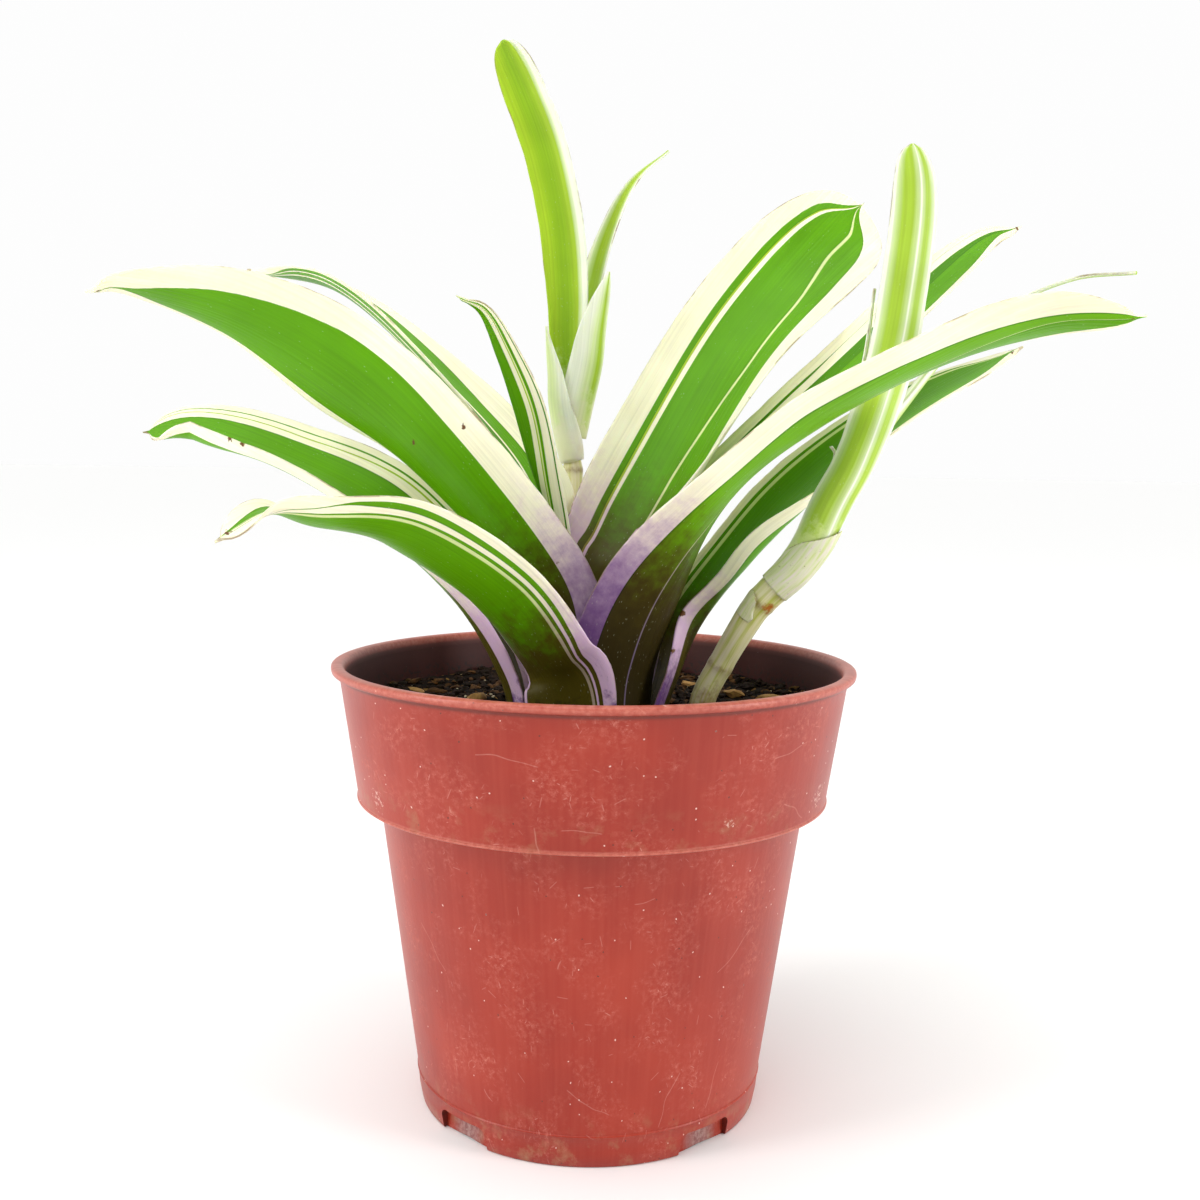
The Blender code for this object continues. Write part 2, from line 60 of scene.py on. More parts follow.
camera = bpy.data.objects.new("camera", bpy.data.cameras.new("camera"))
bpy.context.scene.collection.objects.link(camera)
camera.data.sensor_width = 36
camera.data.lens = 39.32
camera.data.clip_start = 0.01
camera.data.clip_end = 50
turn = Matrix((rolled_level, rolled_upright, -looking)).transposed()
camera.matrix_world = Matrix.Translation(lens_place) @ turn.to_4x4()
bpy.context.scene.camera = camera
bpy.context.scene.view_settings.view_transform = "Standard"


# Nursery pot
# A thin-walled grower's pot, injection moulded in terracotta-red polypropylene: a rounded lip, a deep
# collar that ends in a sharp step, a tapered body and a foot ring cut by four drain notches.
POT_HEIGHT = 89.4
LIP_RADIUS = 52.5
LIP_INNER_RADIUS = 50.1
LIP_DEPTH = 1.7
COLLAR_TOP_RADIUS = 50.9
COLLAR_FOOT_RADIUS = 47.3
SHOULDER_HEIGHT = 62.7
BODY_TOP_RADIUS = 43.0
BODY_FOOT_RADIUS = 35.3
FOOT_LINE_HEIGHT = 6.2
FOOT_RADIUS = 34.5
WALL = 1.3
NOTCH_AZIMUTHS = (-43.3, 40.7, 136.7, -139.3)
NOTCH_WIDTH = 12.6
NOTCH_HEIGHT = 4.4
NOTCH_DEPTH = 6
NOTCH_CORNER = 1.7
FLOOR_TOP = 2.6
FLOOR_UNDERSIDE = 1.2
MEAN_RADIUS = 45


def paint(srgb):
    """A six-digit sRGB colour as linear red, green, blue and full alpha."""
    channels = [int(srgb[i:i + 2], 16) / 255 for i in (0, 2, 4)]
    return (*(c / 12.92 if c <= 0.04045 else ((c + 0.055) / 1.055) ** 2.4 for c in channels), 1)


def fill(socket, value):
    """Sets a node's socket to a value or an sRGB colour, or links it to the output that feeds it."""
    if isinstance(value, bpy.types.NodeSocket):
        socket.id_data.links.new(value, socket)
    else:
        socket.default_value = paint(value) if isinstance(value, str) else value


def feed(node, **sockets):
    """Fills a node's sockets, which are named with _ for a space."""
    for name, value in sockets.items():
        fill(node.inputs[name.replace("_", " ")], value)


def wire(tree, kind, *feeds, out="", stops=(), **settings):
    """Adds a node and returns one of its outputs: the named one, or else the first that it uses.

    Feeds go to the sockets that it uses, in order. Settings that open with a capital are sockets too, the
    others are properties. Stops are the places and colours of its ramp.
    """
    made = tree.nodes.new("ShaderNode" + kind)
    for key, value in settings.items():
        if key.islower():
            setattr(made, key, value)
    for socket, value in zip([socket for socket in made.inputs if socket.enabled], feeds):
        fill(socket, value)
    feed(made, **{key: value for key, value in settings.items() if not key.islower()})
    if stops:
        ramp = made.color_ramp.elements
        while len(ramp) < len(stops):
            ramp.new(1)
        for element, (place, colour) in zip(ramp, sorted(stops, key=lambda stop: stop[0])):
            element.position = place
            element.color = paint(colour)
    return made.outputs[out] if out else next(socket for socket in made.outputs if socket.enabled)


def finish(name, roughness, ior, **constants):
    """A new material named for the real one. Returns it, its surface shader and what adds a node to it."""
    made = bpy.data.materials.new(name)
    made.use_nodes = True
    surface = made.node_tree.nodes["Principled BSDF"]
    feed(surface, Roughness=roughness, IOR=ior, **constants)
    return made, surface, functools.partial(wire, made.node_tree)


def piece(name, mesh, mat, slot, *nodes):
    """Shows a mesh as a piece of the plant or pot, in place of the CAD nodes named."""
    made = bpy.data.objects.new(name, mesh)
    bpy.context.scene.collection.objects.link(made)
    mesh.materials.append(mat)
    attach(made, "root")
    if nodes:
        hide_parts(*nodes)
    return made


def circle(sides):
    """Directions round the pot's axis, the first towards the viewer."""
    angles = [2 * math.pi * k / sides for k in range(sides)]
    return [(math.sin(angle), -math.cos(angle)) for angle in angles]


def ring_at(bm, sides, radius, height):
    """A level ring of vertices round the pot's axis."""
    return [bm.verts.new((radius * x * MM, radius * y * MM, height * MM)) for x, y in circle(sides)]


def bridge(bm, rings):
    """Faces from each ring of vertices to the next. A ring of one vertex is a pole."""
    for ring, following in zip(rings, rings[1:]):
        for k in range(max(len(ring), len(following))):
            corners = [ring[k % len(ring)], ring[(k + 1) % len(ring)],
                       following[(k + 1) % len(following)], following[k % len(following)]]
            bm.faces.new(list(dict.fromkeys(corners)))


def smooth_mesh(name, bm):
    """Turns a closed body's faces outwards and makes it a smooth mesh."""
    bmesh.ops.recalc_face_normals(bm, faces=bm.faces)
    mesh = bpy.data.meshes.new(name)
    bm.to_mesh(mesh)
    bm.free()
    mesh.shade_smooth()
    return mesh


def turned_mesh(name, profile, sides):
    """Turns a run of (radius, height) points, from the axis back to the axis, about the pot's axis."""
    bm = bmesh.new()
    rings = [ring_at(bm, sides if radius else 1, radius, height) for radius, height in profile]
    bridge(bm, rings)
    return smooth_mesh(name, bm)


def between(start, end, shares):
    """Points at shares of the way from one (radius, height) to another."""
    return [[a + (b - a) * share for a, b in zip(start, end)] for share in shares]


def pot_section():
    """The pot's wall from the middle of its floor up the inside, over the lip and down the outside."""
    inner_shoulder = SHOULDER_HEIGHT + 0.9
    inner_foot = FOOT_RADIUS - WALL
    lip_foot = POT_HEIGHT - LIP_DEPTH
    lip_middle = 0.5 * (LIP_RADIUS + LIP_INNER_RADIUS)
    lip_rise = 0.62
    inside = [(0, FLOOR_TOP), (12, FLOOR_TOP), (22, FLOOR_TOP), (inner_foot - 0.9, FLOOR_TOP),
              (inner_foot - 0.25, FLOOR_TOP + 0.25), (inner_foot, FLOOR_TOP + 0.9)]
    inside += between((BODY_FOOT_RADIUS - WALL, 8), (BODY_TOP_RADIUS - WALL, inner_shoulder),
                      (0, 0.2, 0.4, 0.6, 0.8, 0.985))
    inside += [(BODY_TOP_RADIUS - WALL + 0.35, inner_shoulder + 0.1),
               (COLLAR_FOOT_RADIUS - WALL - 0.5, inner_shoulder + 0.5)]
    inside += between((COLLAR_FOOT_RADIUS - WALL, inner_shoulder + 1.0), (COLLAR_TOP_RADIUS - WALL, lip_foot),
                      (0, 0.25, 0.5, 0.75, 1.0))
    lip = [(LIP_INNER_RADIUS - 0.15, POT_HEIGHT - 0.75)]
    for k in range(1, 13):
        angle = math.pi * (1.0 - k / 12)
        lip.append((lip_middle + 0.98 * (LIP_RADIUS - lip_middle) * math.cos(angle) + 0.02,
                    POT_HEIGHT - lip_rise + lip_rise * math.sin(angle) ** 0.7))
    under = [(LIP_RADIUS, POT_HEIGHT - 0.95), (LIP_RADIUS - 0.12, lip_foot + 0.28),
             (LIP_RADIUS - 0.4, lip_foot + 0.06), (LIP_RADIUS - 0.9, lip_foot),
             (COLLAR_TOP_RADIUS + 0.25, lip_foot - 0.08)]
    collar = between((COLLAR_TOP_RADIUS, lip_foot - 0.45), (COLLAR_FOOT_RADIUS, SHOULDER_HEIGHT + 0.75),
                     (0, 0.2, 0.4, 0.6, 0.8, 1.0))
    bead = [(COLLAR_FOOT_RADIUS + out, SHOULDER_HEIGHT + up)
            for out, up in ((0.02, 0.52), (0.2, 0.4), (0.22, 0.12), (0.02, -0.02), (-0.4, 0))]
    body = [(BODY_TOP_RADIUS + 0.5, SHOULDER_HEIGHT), (BODY_TOP_RADIUS + 0.12, SHOULDER_HEIGHT - 0.12)]
    body += between((BODY_TOP_RADIUS, SHOULDER_HEIGHT - 0.5), (BODY_FOOT_RADIUS, FOOT_LINE_HEIGHT + 0.35),
                    (0, 0.15, 0.3, 0.45, 0.6, 0.75, 0.9, 1.0))
    foot = [(BODY_FOOT_RADIUS + 0.16, FOOT_LINE_HEIGHT + 0.22),
            (BODY_FOOT_RADIUS + 0.18, FOOT_LINE_HEIGHT + 0.02),
            (BODY_FOOT_RADIUS + 0.02, FOOT_LINE_HEIGHT - 0.12), (BODY_FOOT_RADIUS - 0.25, 3.2),
            (FOOT_RADIUS, 0.3), (FOOT_RADIUS - 0.25, 0), (FOOT_RADIUS - 1.4, 0), (FOOT_RADIUS - 1.6, 0.25),
            (FOOT_RADIUS - 1.7, FLOOR_UNDERSIDE), (20, FLOOR_UNDERSIDE), (0, FLOOR_UNDERSIDE)]
    return inside + lip + under + collar + bead + body + foot


def scratch_marks(add, skin, pitch, length, width, share):
    """Short straight marks in every direction, one in a share of the skin's cells, pitch mm apart."""
    cell = add("TexVoronoi", skin, Scale=1 / pitch, voronoi_dimensions="2D").node
    lie, chance, size = add("SeparateXYZ", cell.outputs["Color"]).node.outputs
    local = add("VectorMath", skin, cell.outputs["Position"], operation="SUBTRACT")
    angle = add("Math", lie, math.pi, operation="MULTIPLY")
    turned = add("VectorRotate", local, Angle=angle, rotation_type="Z_AXIS")
    turned = add("VectorMath", turned, operation="ABSOLUTE")
    ahead, aside, _ = add("SeparateXYZ", turned).node.outputs
    reach = add("Math", size, length / 2, operation="MULTIPLY")
    reach = add("Math", ahead, reach, operation="SUBTRACT")
    mark = add("MapRange", reach, 0, 0.3, 1, 0)
    thin = add("MapRange", aside, width * 0.3, width * 0.7, 1, 0)
    mark = add("Math", mark, thin, operation="MULTIPLY")
    some = add("Math", chance, share, operation="LESS_THAN")
    return add("Math", mark, some, operation="MULTIPLY")


def near(add, value, middle, whole, none, strength):
    """Strength where a value is within whole of its middle, fading to nothing at none from it."""
    away = add("Math", value, middle, operation="SUBTRACT")
    away = add("Math", away, operation="ABSOLUTE")
    return add("MapRange", away, whole, none, strength, 0)


def moulded_polypropylene():
    """Terracotta-red polypropylene from a polished mould: satin, cloudy in colour and scuffed by handling."""
    mat, surface, add = finish("moulded_terracotta_polypropylene", 0.4, 1.49, Specular_IOR_Level=0.42,
                               Coat_Weight=0.1, Coat_Roughness=0.32, Coat_IOR=1.5)
    place = add("TexCoord", out="Object")
    x, y, up = add("SeparateXYZ", place).node.outputs
    flat = add("CombineXYZ", x, y)
    radius = add("VectorMath", flat, operation="LENGTH")
    ahead = add("Math", y, -1, operation="MULTIPLY")
    bearing = add("Math", x, ahead, operation="ARCTAN2")
    round_mm = add("Math", bearing, MEAN_RADIUS, operation="MULTIPLY")
    up_mm = add("Math", up, 1 / MM, operation="MULTIPLY")
    skin = add("CombineXYZ", round_mm, up_mm)
    # Clouds 25 mm across: the pigment is a little uneven
    cloud = add("TexNoise", place, Scale=40, Detail=3)
    colour = add("ValToRGB", cloud, stops=[(0.3, "90200A"), (0.5, "9C2710"), (0.72, "A73119")])
    # The draw of the mould leaves faint upright streaks about 1 mm wide
    tall = add("Mapping", skin, Scale=(0.9, 0.03, 1))
    streak = add("TexNoise", tall, Scale=1, Detail=3)
    streak = add("MapRange", streak, 0.4, 0.75, 0, 0.22)
    # Handling rubs a soft bloom into patches some 10 mm wide, mottled at half a millimetre
    patch = add("TexNoise", skin, Scale=0.09, Detail=4, Roughness=0.6)
    patch = add("MapRange", patch, 0.46, 0.64)
    mottle = add("TexNoise", skin, Scale=0.9, Detail=5, Roughness=0.7)
    bloom = add("MapRange", mottle, 0.46, 0.68)
    bloom = add("Math", bloom, patch, operation="MULTIPLY")
    bloom = add("Math", bloom, 0.42, operation="MULTIPLY")
    # Scratches: ticks of about a millimetre crowd the rubbed patches, and a few long ones bend across them
    bent = add("TexNoise", skin, Scale=0.12, Detail=1, out="Color")
    bent = add("VectorMath", bent, Scale=3.5, operation="SCALE")
    bent = add("VectorMath", skin, bent)
    tick = scratch_marks(add, skin, 1.3, 1.0, 0.15, 0.12)
    tick = add("Math", tick, patch, operation="MULTIPLY")
    lone = scratch_marks(add, skin, 5.5, 2.0, 0.16, 0.3)
    long = scratch_marks(add, bent, 13, 13, 0.2, 0.3)
    long = add("Math", long, mottle, operation="MULTIPLY")
    mark = add("Math", lone, 0.5, operation="MULTIPLY")
    mark = add("Math", mark, tick, operation="MAXIMUM")
    mark = add("Math", mark, long, operation="MAXIMUM")
    mark = add("Math", mark, 0.45, operation="MULTIPLY")
    # Grit has rubbed fine curling lines into the patches
    curl = add("TexNoise", skin, Scale=0.3, Detail=5, Roughness=0.62, Distortion=1.2)
    curl = near(add, curl, 0.5, 0.002, 0.016, 1.1)
    curl = add("Math", curl, bloom, operation="MULTIPLY")
    # Knocks have scuffed the collar whitish in three places just above the step
    knocks = []
    for around, height, wide in ((49.5, 67.5, 4.5), (24.0, 67.0, 2.6), (-44.0, 66.5, 4.0)):
        away = add("VectorMath", skin, (around, height, 0), operation="DISTANCE")
        knock = add("MapRange", away, wide * 0.3, wide, 0.1, -0.12)
        knock = add("Math", mottle, knock)
        knocks.append(add("MapRange", knock, 0.6, 0.68, 0, 0.75))
    # Chips a third of a millimetre wide, and dark specks of peat
    chip = add("TexVoronoi", bent, Scale=0.42, voronoi_dimensions="2D").node
    dot = add("MapRange", chip.outputs["Distance"], 0.03, 0.08, 1, 0)
    pale, dark, _ = add("SeparateXYZ", chip.outputs["Color"]).node.outputs
    pale = add("Math", pale, 0.06, operation="LESS_THAN")
    pale = add("Math", pale, dot, operation="MULTIPLY")
    dark = add("Math", dark, 0.05, operation="LESS_THAN")
    dark = add("Math", dark, dot, operation="MULTIPLY")
    # The lip and the edge of the step are rubbed pale, partly wear and partly a painted highlight, and a dark
    # line under the lip is painted shade
    lip = add("MapRange", up, (POT_HEIGHT - 1.8) * MM, (POT_HEIGHT - 0.8) * MM)
    step = near(add, up, (SHOULDER_HEIGHT + 0.3) * MM, 0.0002, 0.0006, 1)
    outer = add("MapRange", radius, (COLLAR_FOOT_RADIUS - 0.5) * MM, (COLLAR_FOOT_RADIUS - 0.2) * MM)
    step = add("Math", step, outer, operation="MULTIPLY")
    wear_and_highlight = add("Math", lip, step, operation="MAXIMUM")
    rub = add("MapRange", mottle, 0.3, 0.7, 0.2, 0.7)
    wear_and_highlight = add("Math", wear_and_highlight, rub, operation="MULTIPLY")
    # Painted shade: a dark line in the crease under the lip
    shade_under_lip = near(add, up, (POT_HEIGHT - LIP_DEPTH - 0.3) * MM, 0.0002, 0.0007, 0.7)
    # Dried soil water stains the foot and the step brown, with a few grains of pale lime in it
    low = add("MapRange", up, 1 * MM, 12 * MM, 1, 0)
    ledge = near(add, up, (SHOULDER_HEIGHT + 2.8) * MM, 0, 0.006, 0.6)
    low = add("Math", low, ledge, operation="MAXIMUM")
    silt = add("TexNoise", skin, Scale=0.16, Detail=6, Roughness=0.65)
    silt = add("MapRange", silt, 0.52, 0.7)
    silt = add("Math", silt, low, operation="MULTIPLY")
    # Each of these lies over the ones before it
    for amount, tone in ((streak, "B34834"), (bloom, "CF7463"), (mark, "DF9F91"), (curl, "DB9686"),
                         *((knock, "E0B4A6") for knock in knocks), (pale, "E9C3B8"), (dark, "4A241A"),
                         (wear_and_highlight, "D4816F"), (shade_under_lip, "5E2218"), (silt, "A4704F")):
        colour = add("Mix", amount, colour, tone, data_type="RGBA")
    # What the drain notches show behind the foot ring is painted a mottled grey
    under = add("MapRange", radius, (FOOT_RADIUS - 1.2) * MM, (FOOT_RADIUS - 1.7) * MM)
    base = add("MapRange", up, (NOTCH_HEIGHT + 0.2) * MM, (NOTCH_HEIGHT - 0.4) * MM)
    under = add("Math", under, base, operation="MULTIPLY")
    under = add("Math", under, 0.85, operation="MULTIPLY")
    grey_under_foot = add("ValToRGB", mottle, stops=[(0.4, "6E6A68"), (0.62, "B8B4B0")])
    colour = add("Mix", under, colour, grey_under_foot, data_type="RGBA")
    # Inside, above the mix, the inward-facing wall is painted darker, partly peat dust and partly painted
    # shade for the shade inside the pot, and in patches darker still, more so lower down towards the mix
    inward = add("VectorMath", add("NewGeometry", out="Normal"), flat, operation="DOT_PRODUCT")
    inward = add("MapRange", inward, 0.0, -0.01)
    deep = add("MapRange", up, (POT_HEIGHT - 0.5) * MM, (POT_HEIGHT - 2.6) * MM)
    dust_and_shade = add("Math", inward, deep, operation="MULTIPLY")
    dusting_and_shade = add("Math", dust_and_shade, 0.94, operation="MULTIPLY")
    dark_patches = add("MapRange", mottle, 0.5, 0.62)
    towards_mix = add("MapRange", up, (POT_HEIGHT - 4.4) * MM, (POT_HEIGHT - 8.4) * MM)
    dark_patches = add("Math", dark_patches, towards_mix, operation="MULTIPLY")
    dark_patches = add("Math", dark_patches, dust_and_shade, operation="MULTIPLY")
    # Painted shade with peat dust on the inward-facing wall, and darker patches lower down
    for amount, tone in ((dusting_and_shade, "380703"), (dark_patches, "1C0F0C")):
        colour = add("Mix", amount, colour, tone, data_type="RGBA")
    matt = add("Math", mark, bloom, operation="MAXIMUM")
    matt = add("Math", matt, dust_and_shade, operation="MAXIMUM")
    rough = add("MapRange", matt, 0, 1, 0.38, 0.75)
    dent = add("TexNoise", place, Scale=60, Detail=2)
    bump = add("Bump", Height=dent, Distance=0.0012, Strength=0.2)
    grain = add("TexNoise", place, Scale=1400, Detail=2)
    bump = add("Bump", Height=grain, Distance=0.00006, Strength=0.35, Normal=bump)
    feed(surface, Base_Color=colour, Roughness=rough, Normal=bump)
    return mat


pot = piece("nursery_pot", turned_mesh("nursery_pot", pot_section(), sides=160),
            moulded_polypropylene(), "pot_plastic", "pot")
notches = bmesh.new()
for azimuth in NOTCH_AZIMUTHS:
    block = bmesh.new()
    bmesh.ops.create_cube(block, size=1)
    for vert in block.verts:
        across, inwards, up = vert.co
        vert.co = Vector((across * NOTCH_WIDTH, inwards * NOTCH_DEPTH, up * 2 * NOTCH_HEIGHT)) * MM
    edges = [e for e in block.edges if abs(e.verts[0].co.y - e.verts[1].co.y) > 1 * MM]
    bmesh.ops.bevel(block, geom=edges, offset=NOTCH_CORNER * MM, segments=6, profile=0.5, affect="EDGES")
    angle = math.radians(azimuth)
    reach = (FOOT_RADIUS + 1.5) * MM
    shift = Matrix.Translation((reach * math.sin(angle), -reach * math.cos(angle), 0))
    block.transform(shift @ Matrix.Rotation(angle, 4, "Z"))
    block_mesh = bpy.data.meshes.new("drain_notch")
    block.to_mesh(block_mesh)
    block.free()
    notches.from_mesh(block_mesh)
notch_mesh = bpy.data.meshes.new("drain_notches")
notches.to_mesh(notch_mesh)
notches.free()
notch = bpy.data.objects.new("drain_notches", notch_mesh)
bpy.context.scene.collection.objects.link(notch)
sawn = pot.modifiers.new("drain notches", "BOOLEAN")
sawn.operation = "DIFFERENCE"
sawn.solver = "EXACT"
sawn.object = notch
bpy.context.view_layer.update()
cut_mesh = bpy.data.meshes.new_from_object(pot.evaluated_get(bpy.context.evaluated_depsgraph_get()))
cut_mesh.shade_smooth()
cut_mesh.set_sharp_from_angle(angle=math.radians(50))
pot.modifiers.clear()
pot.data = cut_mesh
bpy.data.objects.remove(notch, do_unlink=True)


# Potting mix
# A dark peat and fine bark mix, damp and crumbly, filled to a centimetre under the lip. Loose crumbs,
# bark chips and a few pale grains lie on top, and the mix has been pressed round the plant's foot.
MIX_LEVEL = 79.5
PLANT_X = -2.0
PIT_FLOOR = 75.75
MIX_RADIUS = 48.0
SCATTER_RADIUS = 47.2
ROSETTE_FOOT_RADIUS = 17


def mix_height(x, y):
    """Height of the mix at a point: lumps of 4 to 12 mm, a bank at the wall and a hollow at the rosette."""
    radius = math.hypot(x, y)
    lumps = noise.fractal(Vector((x * 0.075 + 3.1, y * 0.075 + 0.4, 7.7)), 0.9, 2.1, 4)
    fine = noise.fractal(Vector((x * 0.45, y * 0.45, 2.3)), 0.7, 2.0, 3)
    uneven = 1 + 0.6 * noise.noise(Vector((x * 0.11, y * 0.11, 9.0)))
    bank = 1.1 * max(0, min(1, (radius - 37) / 9)) * uneven
    hollow = max(0, min(1, (20.5 - math.hypot(x - PLANT_X, y)) / 3.0))
    height = MIX_LEVEL + 0.9 * lumps + 0.45 * fine + bank
    return height * (1 - hollow) + (PIT_FLOOR + 0.2 * fine) * hollow


def mix_mesh():
    """The filling as one closed body: a rough top on a fine polar grid, and sides a hair off the pot."""
    sides, rings = 180, 60
    slope = (COLLAR_TOP_RADIUS - COLLAR_FOOT_RADIUS) / (POT_HEIGHT - SHOULDER_HEIGHT)
    edge = COLLAR_TOP_RADIUS - WALL - 0.3 - slope * (POT_HEIGHT - LIP_DEPTH - MIX_LEVEL)
    bm = bmesh.new()
    loops = [[bm.verts.new((0, 0, mix_height(0, 0) * MM))]]
    for ring in range(1, rings + 1):
        radius = edge * ring / rings
        spots = [(radius * x, radius * y) for x, y in circle(sides)]
        loops.append([bm.verts.new((x * MM, y * MM, mix_height(x, y) * MM)) for x, y in spots])
    for radius, height in ((edge - 0.4, MIX_LEVEL - 3),
                           (COLLAR_FOOT_RADIUS - WALL - 0.3, SHOULDER_HEIGHT + 1.85),
                           (BODY_TOP_RADIUS - WALL - 0.4, SHOULDER_HEIGHT + 1.25),
                           (BODY_FOOT_RADIUS - WALL - 0.4, 8), (FOOT_RADIUS - WALL - 1.4, FLOOR_TOP + 0.3)):
        loops.append(ring_at(bm, sides, radius, height))
    bridge(bm, loops)
    bm.faces.new(loops[-1])
    return smooth_mesh("potting_mix", bm)


def damp_peat():
    """Damp milled peat and bark fines: near black, matt, with brown and tan crumbs of about 1 mm."""
    mat, surface, add = finish("damp_peat_and_bark", 0.92, 1.4, Specular_IOR_Level=0.25)
    place = add("TexCoord", out="Object")
    crumb = add("TexVoronoi", place, Scale=900, out="Color")
    tone = add("ValToRGB", add("SeparateXYZ", crumb),
               stops=[(0.0, "0C0704"), (0.5, "1B0F08"), (0.8, "301D0F"), (0.94, "56391B"), (0.99, "9C7642")])
    grit = add("TexNoise", place, Scale=700, Detail=5, Roughness=0.7)
    bump = add("Bump", Height=grit, Distance=0.0007, Strength=1.0)
    feed(surface, Base_Color=tone, Normal=bump)
    return mat


def crumb_material(name, dark, light, roughness):
    """A loose piece of the mix, its colour wandering between two tones from piece to piece."""
    mat, surface, add = finish(name, roughness, 1.45, Specular_IOR_Level=0.3)
    place = add("TexCoord", out="Object")
    tone = add("TexNoise", place, Scale=330, Detail=4, Roughness=0.7)
    tone = add("ValToRGB", tone, stops=[(0.3, dark), (0.7, light)])
    fibre = add("TexNoise", place, Scale=1500, Detail=3)
    bump = add("Bump", Height=fibre, Distance=0.0003, Strength=0.8)
    feed(surface, Base_Color=tone, Normal=bump)
    return mat


def scatter(name, count, sizes, stretch, seed, spots=None, sunk=0.25):
    """Loose lumps lying on the mix, each a small broken body of its own, joined into one mesh."""
    dice = np.random.default_rng(seed)
    balls = []
    for fineness in (1, 2):
        ball = bmesh.new()
        bmesh.ops.create_icosphere(ball, subdivisions=fineness, radius=0.5)
        ball.verts.index_update()
        corners = [vert.co.copy() for vert in ball.verts]
        balls.append((corners, [[vert.index for vert in face.verts] for face in ball.faces]))
        ball.free()
    coords, faces = [], []
    for number in range(count):
        if spots:
            x, y = spots[number]
        else:
            radius = SCATTER_RADIUS * math.sqrt(dice.uniform(0.12, 1))
            angle = dice.uniform(0, 2 * math.pi)
            x, y = radius * math.sin(angle), -radius * math.cos(angle)
        if math.hypot(x - PLANT_X, y) < ROSETTE_FOOT_RADIUS:
            continue
        size = dice.uniform(*sizes)
        flat = Vector((size * dice.uniform(*stretch), size, size * dice.uniform(0.35, 0.8)))
        bound = MIX_RADIUS - 0.6 * max(flat)
        far = math.hypot(x, y)
        if far > bound:
            x, y = x * bound / far, y * bound / far
        heading = Matrix.Rotation(dice.uniform(0, math.pi * 2), 3, "Z")
        spin = heading @ Matrix.Rotation(dice.uniform(-0.5, 0.5), 3, "X")
        shift = Vector(dice.uniform(-50, 50, 3))
        place = Vector((x, y, mix_height(x, y) + flat.z * (0.5 - sunk)))
        corners, sides = balls[size > 0.9]
        faces += [[corner + len(coords) for corner in side] for side in sides]
        for corner in corners:
            knock = 1 + 0.55 * noise.noise(corner * 2.2 + shift) + 0.25 * noise.noise(corner * 5 + shift)
            coords.append((spin @ (corner * flat * knock) + place) * MM)
    mesh = bpy.data.meshes.new(name)
    mesh.from_pydata(coords, [], faces)
    mesh.shade_smooth()
    mesh.set_sharp_from_angle(angle=math.radians(35))
    return mesh


piece("potting_mix", mix_mesh(), damp_peat(), "potting_mix", "soil")
piece("peat_crumbs", scatter("peat_crumbs", 1900, sizes=(0.6, 2.0), stretch=(0.8, 1.5), seed=11),
      crumb_material("peat_crumb", "0E0704", "2F1C0F", 0.95), "potting_mix")
piece("bark_fines", scatter("bark_fines", 260, sizes=(0.8, 2.2), stretch=(1.0, 2.4), seed=23),
      crumb_material("shredded_bark", "301D0E", "704A24", 0.88), "potting_mix")
piece("pale_grit", scatter("pale_grit", 150, sizes=(0.35, 0.9), stretch=(0.8, 1.3), seed=31, sunk=0.1),
      crumb_material("crushed_pale_grit", "B79E72", "E4D9C0", 0.8), "potting_mix")
chips = scatter("bark_chips", 9, sizes=(2.6, 4.2), stretch=(1.5, 2.2), seed=5, sunk=0.2,
                spots=[(-28.5, -36.5), (-36, -20), (31, -31), (38, 8), (-12, 36), (22, 30), (-38, 14),
                       (-24.5, 5.5), (30, 14)])
piece("bark_chips", chips, crumb_material("broken_pine_bark", "8A5E33", "C79A5C", 0.8), "potting_mix")
shaving = scatter("pot_shaving", 1, sizes=(0.8, 0.9), stretch=(5, 6), seed=8, spots=[(-33, 3.5)], sunk=-1.2)
piece("pot_shaving", shaving,
      crumb_material("polypropylene_shaving", "B04A38", "DC8C7C", 0.5), "potting_mix")


# Rootstock
# The plant's short fibrous stem stands in the mix inside the rosette. It carries every sheath, and old
# leaf scars ring it every two millimetres.
STEM_RADIUS = 5.2
STEM_TOP = 88.0
STEM_FOOT = 50.0


def scarred_stem():
    """Brown fibrous stem tissue: matt, ringed by darker leaf scars 2 mm apart."""
    mat, surface, add = finish("fibrous_brown_stem", 0.8, 1.45)
    place = add("TexCoord", out="Object")
    ring = add("TexWave", place, Scale=80, Distortion=3, Detail=2, bands_direction="Z", out="Fac")
    tone = add("ValToRGB", ring, stops=[(0.1, "3E2C1B"), (0.6, "6A5236"), (1.0, "8A7048")])
    bump = add("Bump", Height=ring, Distance=0.0004, Strength=0.7)
    feed(surface, Base_Color=tone, Normal=bump)
    return mat


def stem_mesh():
    """The stem as a turned body whose side swells a little between the scars."""
    section = [(0, STEM_FOOT), (3.4, STEM_FOOT), (4.6, STEM_FOOT + 1.5)]
    height = STEM_FOOT + 3
    while height < STEM_TOP - 4:
        radius = min(STEM_RADIUS, 4.6 + 0.6 * (height - STEM_FOOT) / 20)
        section.append((radius - 0.12 * (round(height) % 2), height))
        height += 1
    section += [(STEM_RADIUS - 0.1, STEM_TOP - 4), (4.2, STEM_TOP - 1.8), (2.4, STEM_TOP - 0.3)]
    section.append((0, STEM_TOP))
    mesh = turned_mesh("rootstock", section, sides=40)
    mesh.transform(Matrix.Translation((PLANT_X * MM, 0, 0)))
    return mesh


piece("rootstock_stem", stem_mesh(), scarred_stem(), "rootstock", "rootstock")


# Rosette leaves
# Nine strap leaves stand in the rosette, sheath inside sheath. Each is a leathery channelled blade, green
# between cream margins, with stripes that run from foot to tip and a purple-brown flush over its base.
LEAF_THICKNESS = 0.8
ROLL_RADIUS = 3.2
BLADE_READINGS = ("band", "along_mm", "across_mm", "rim_mm", "scar")


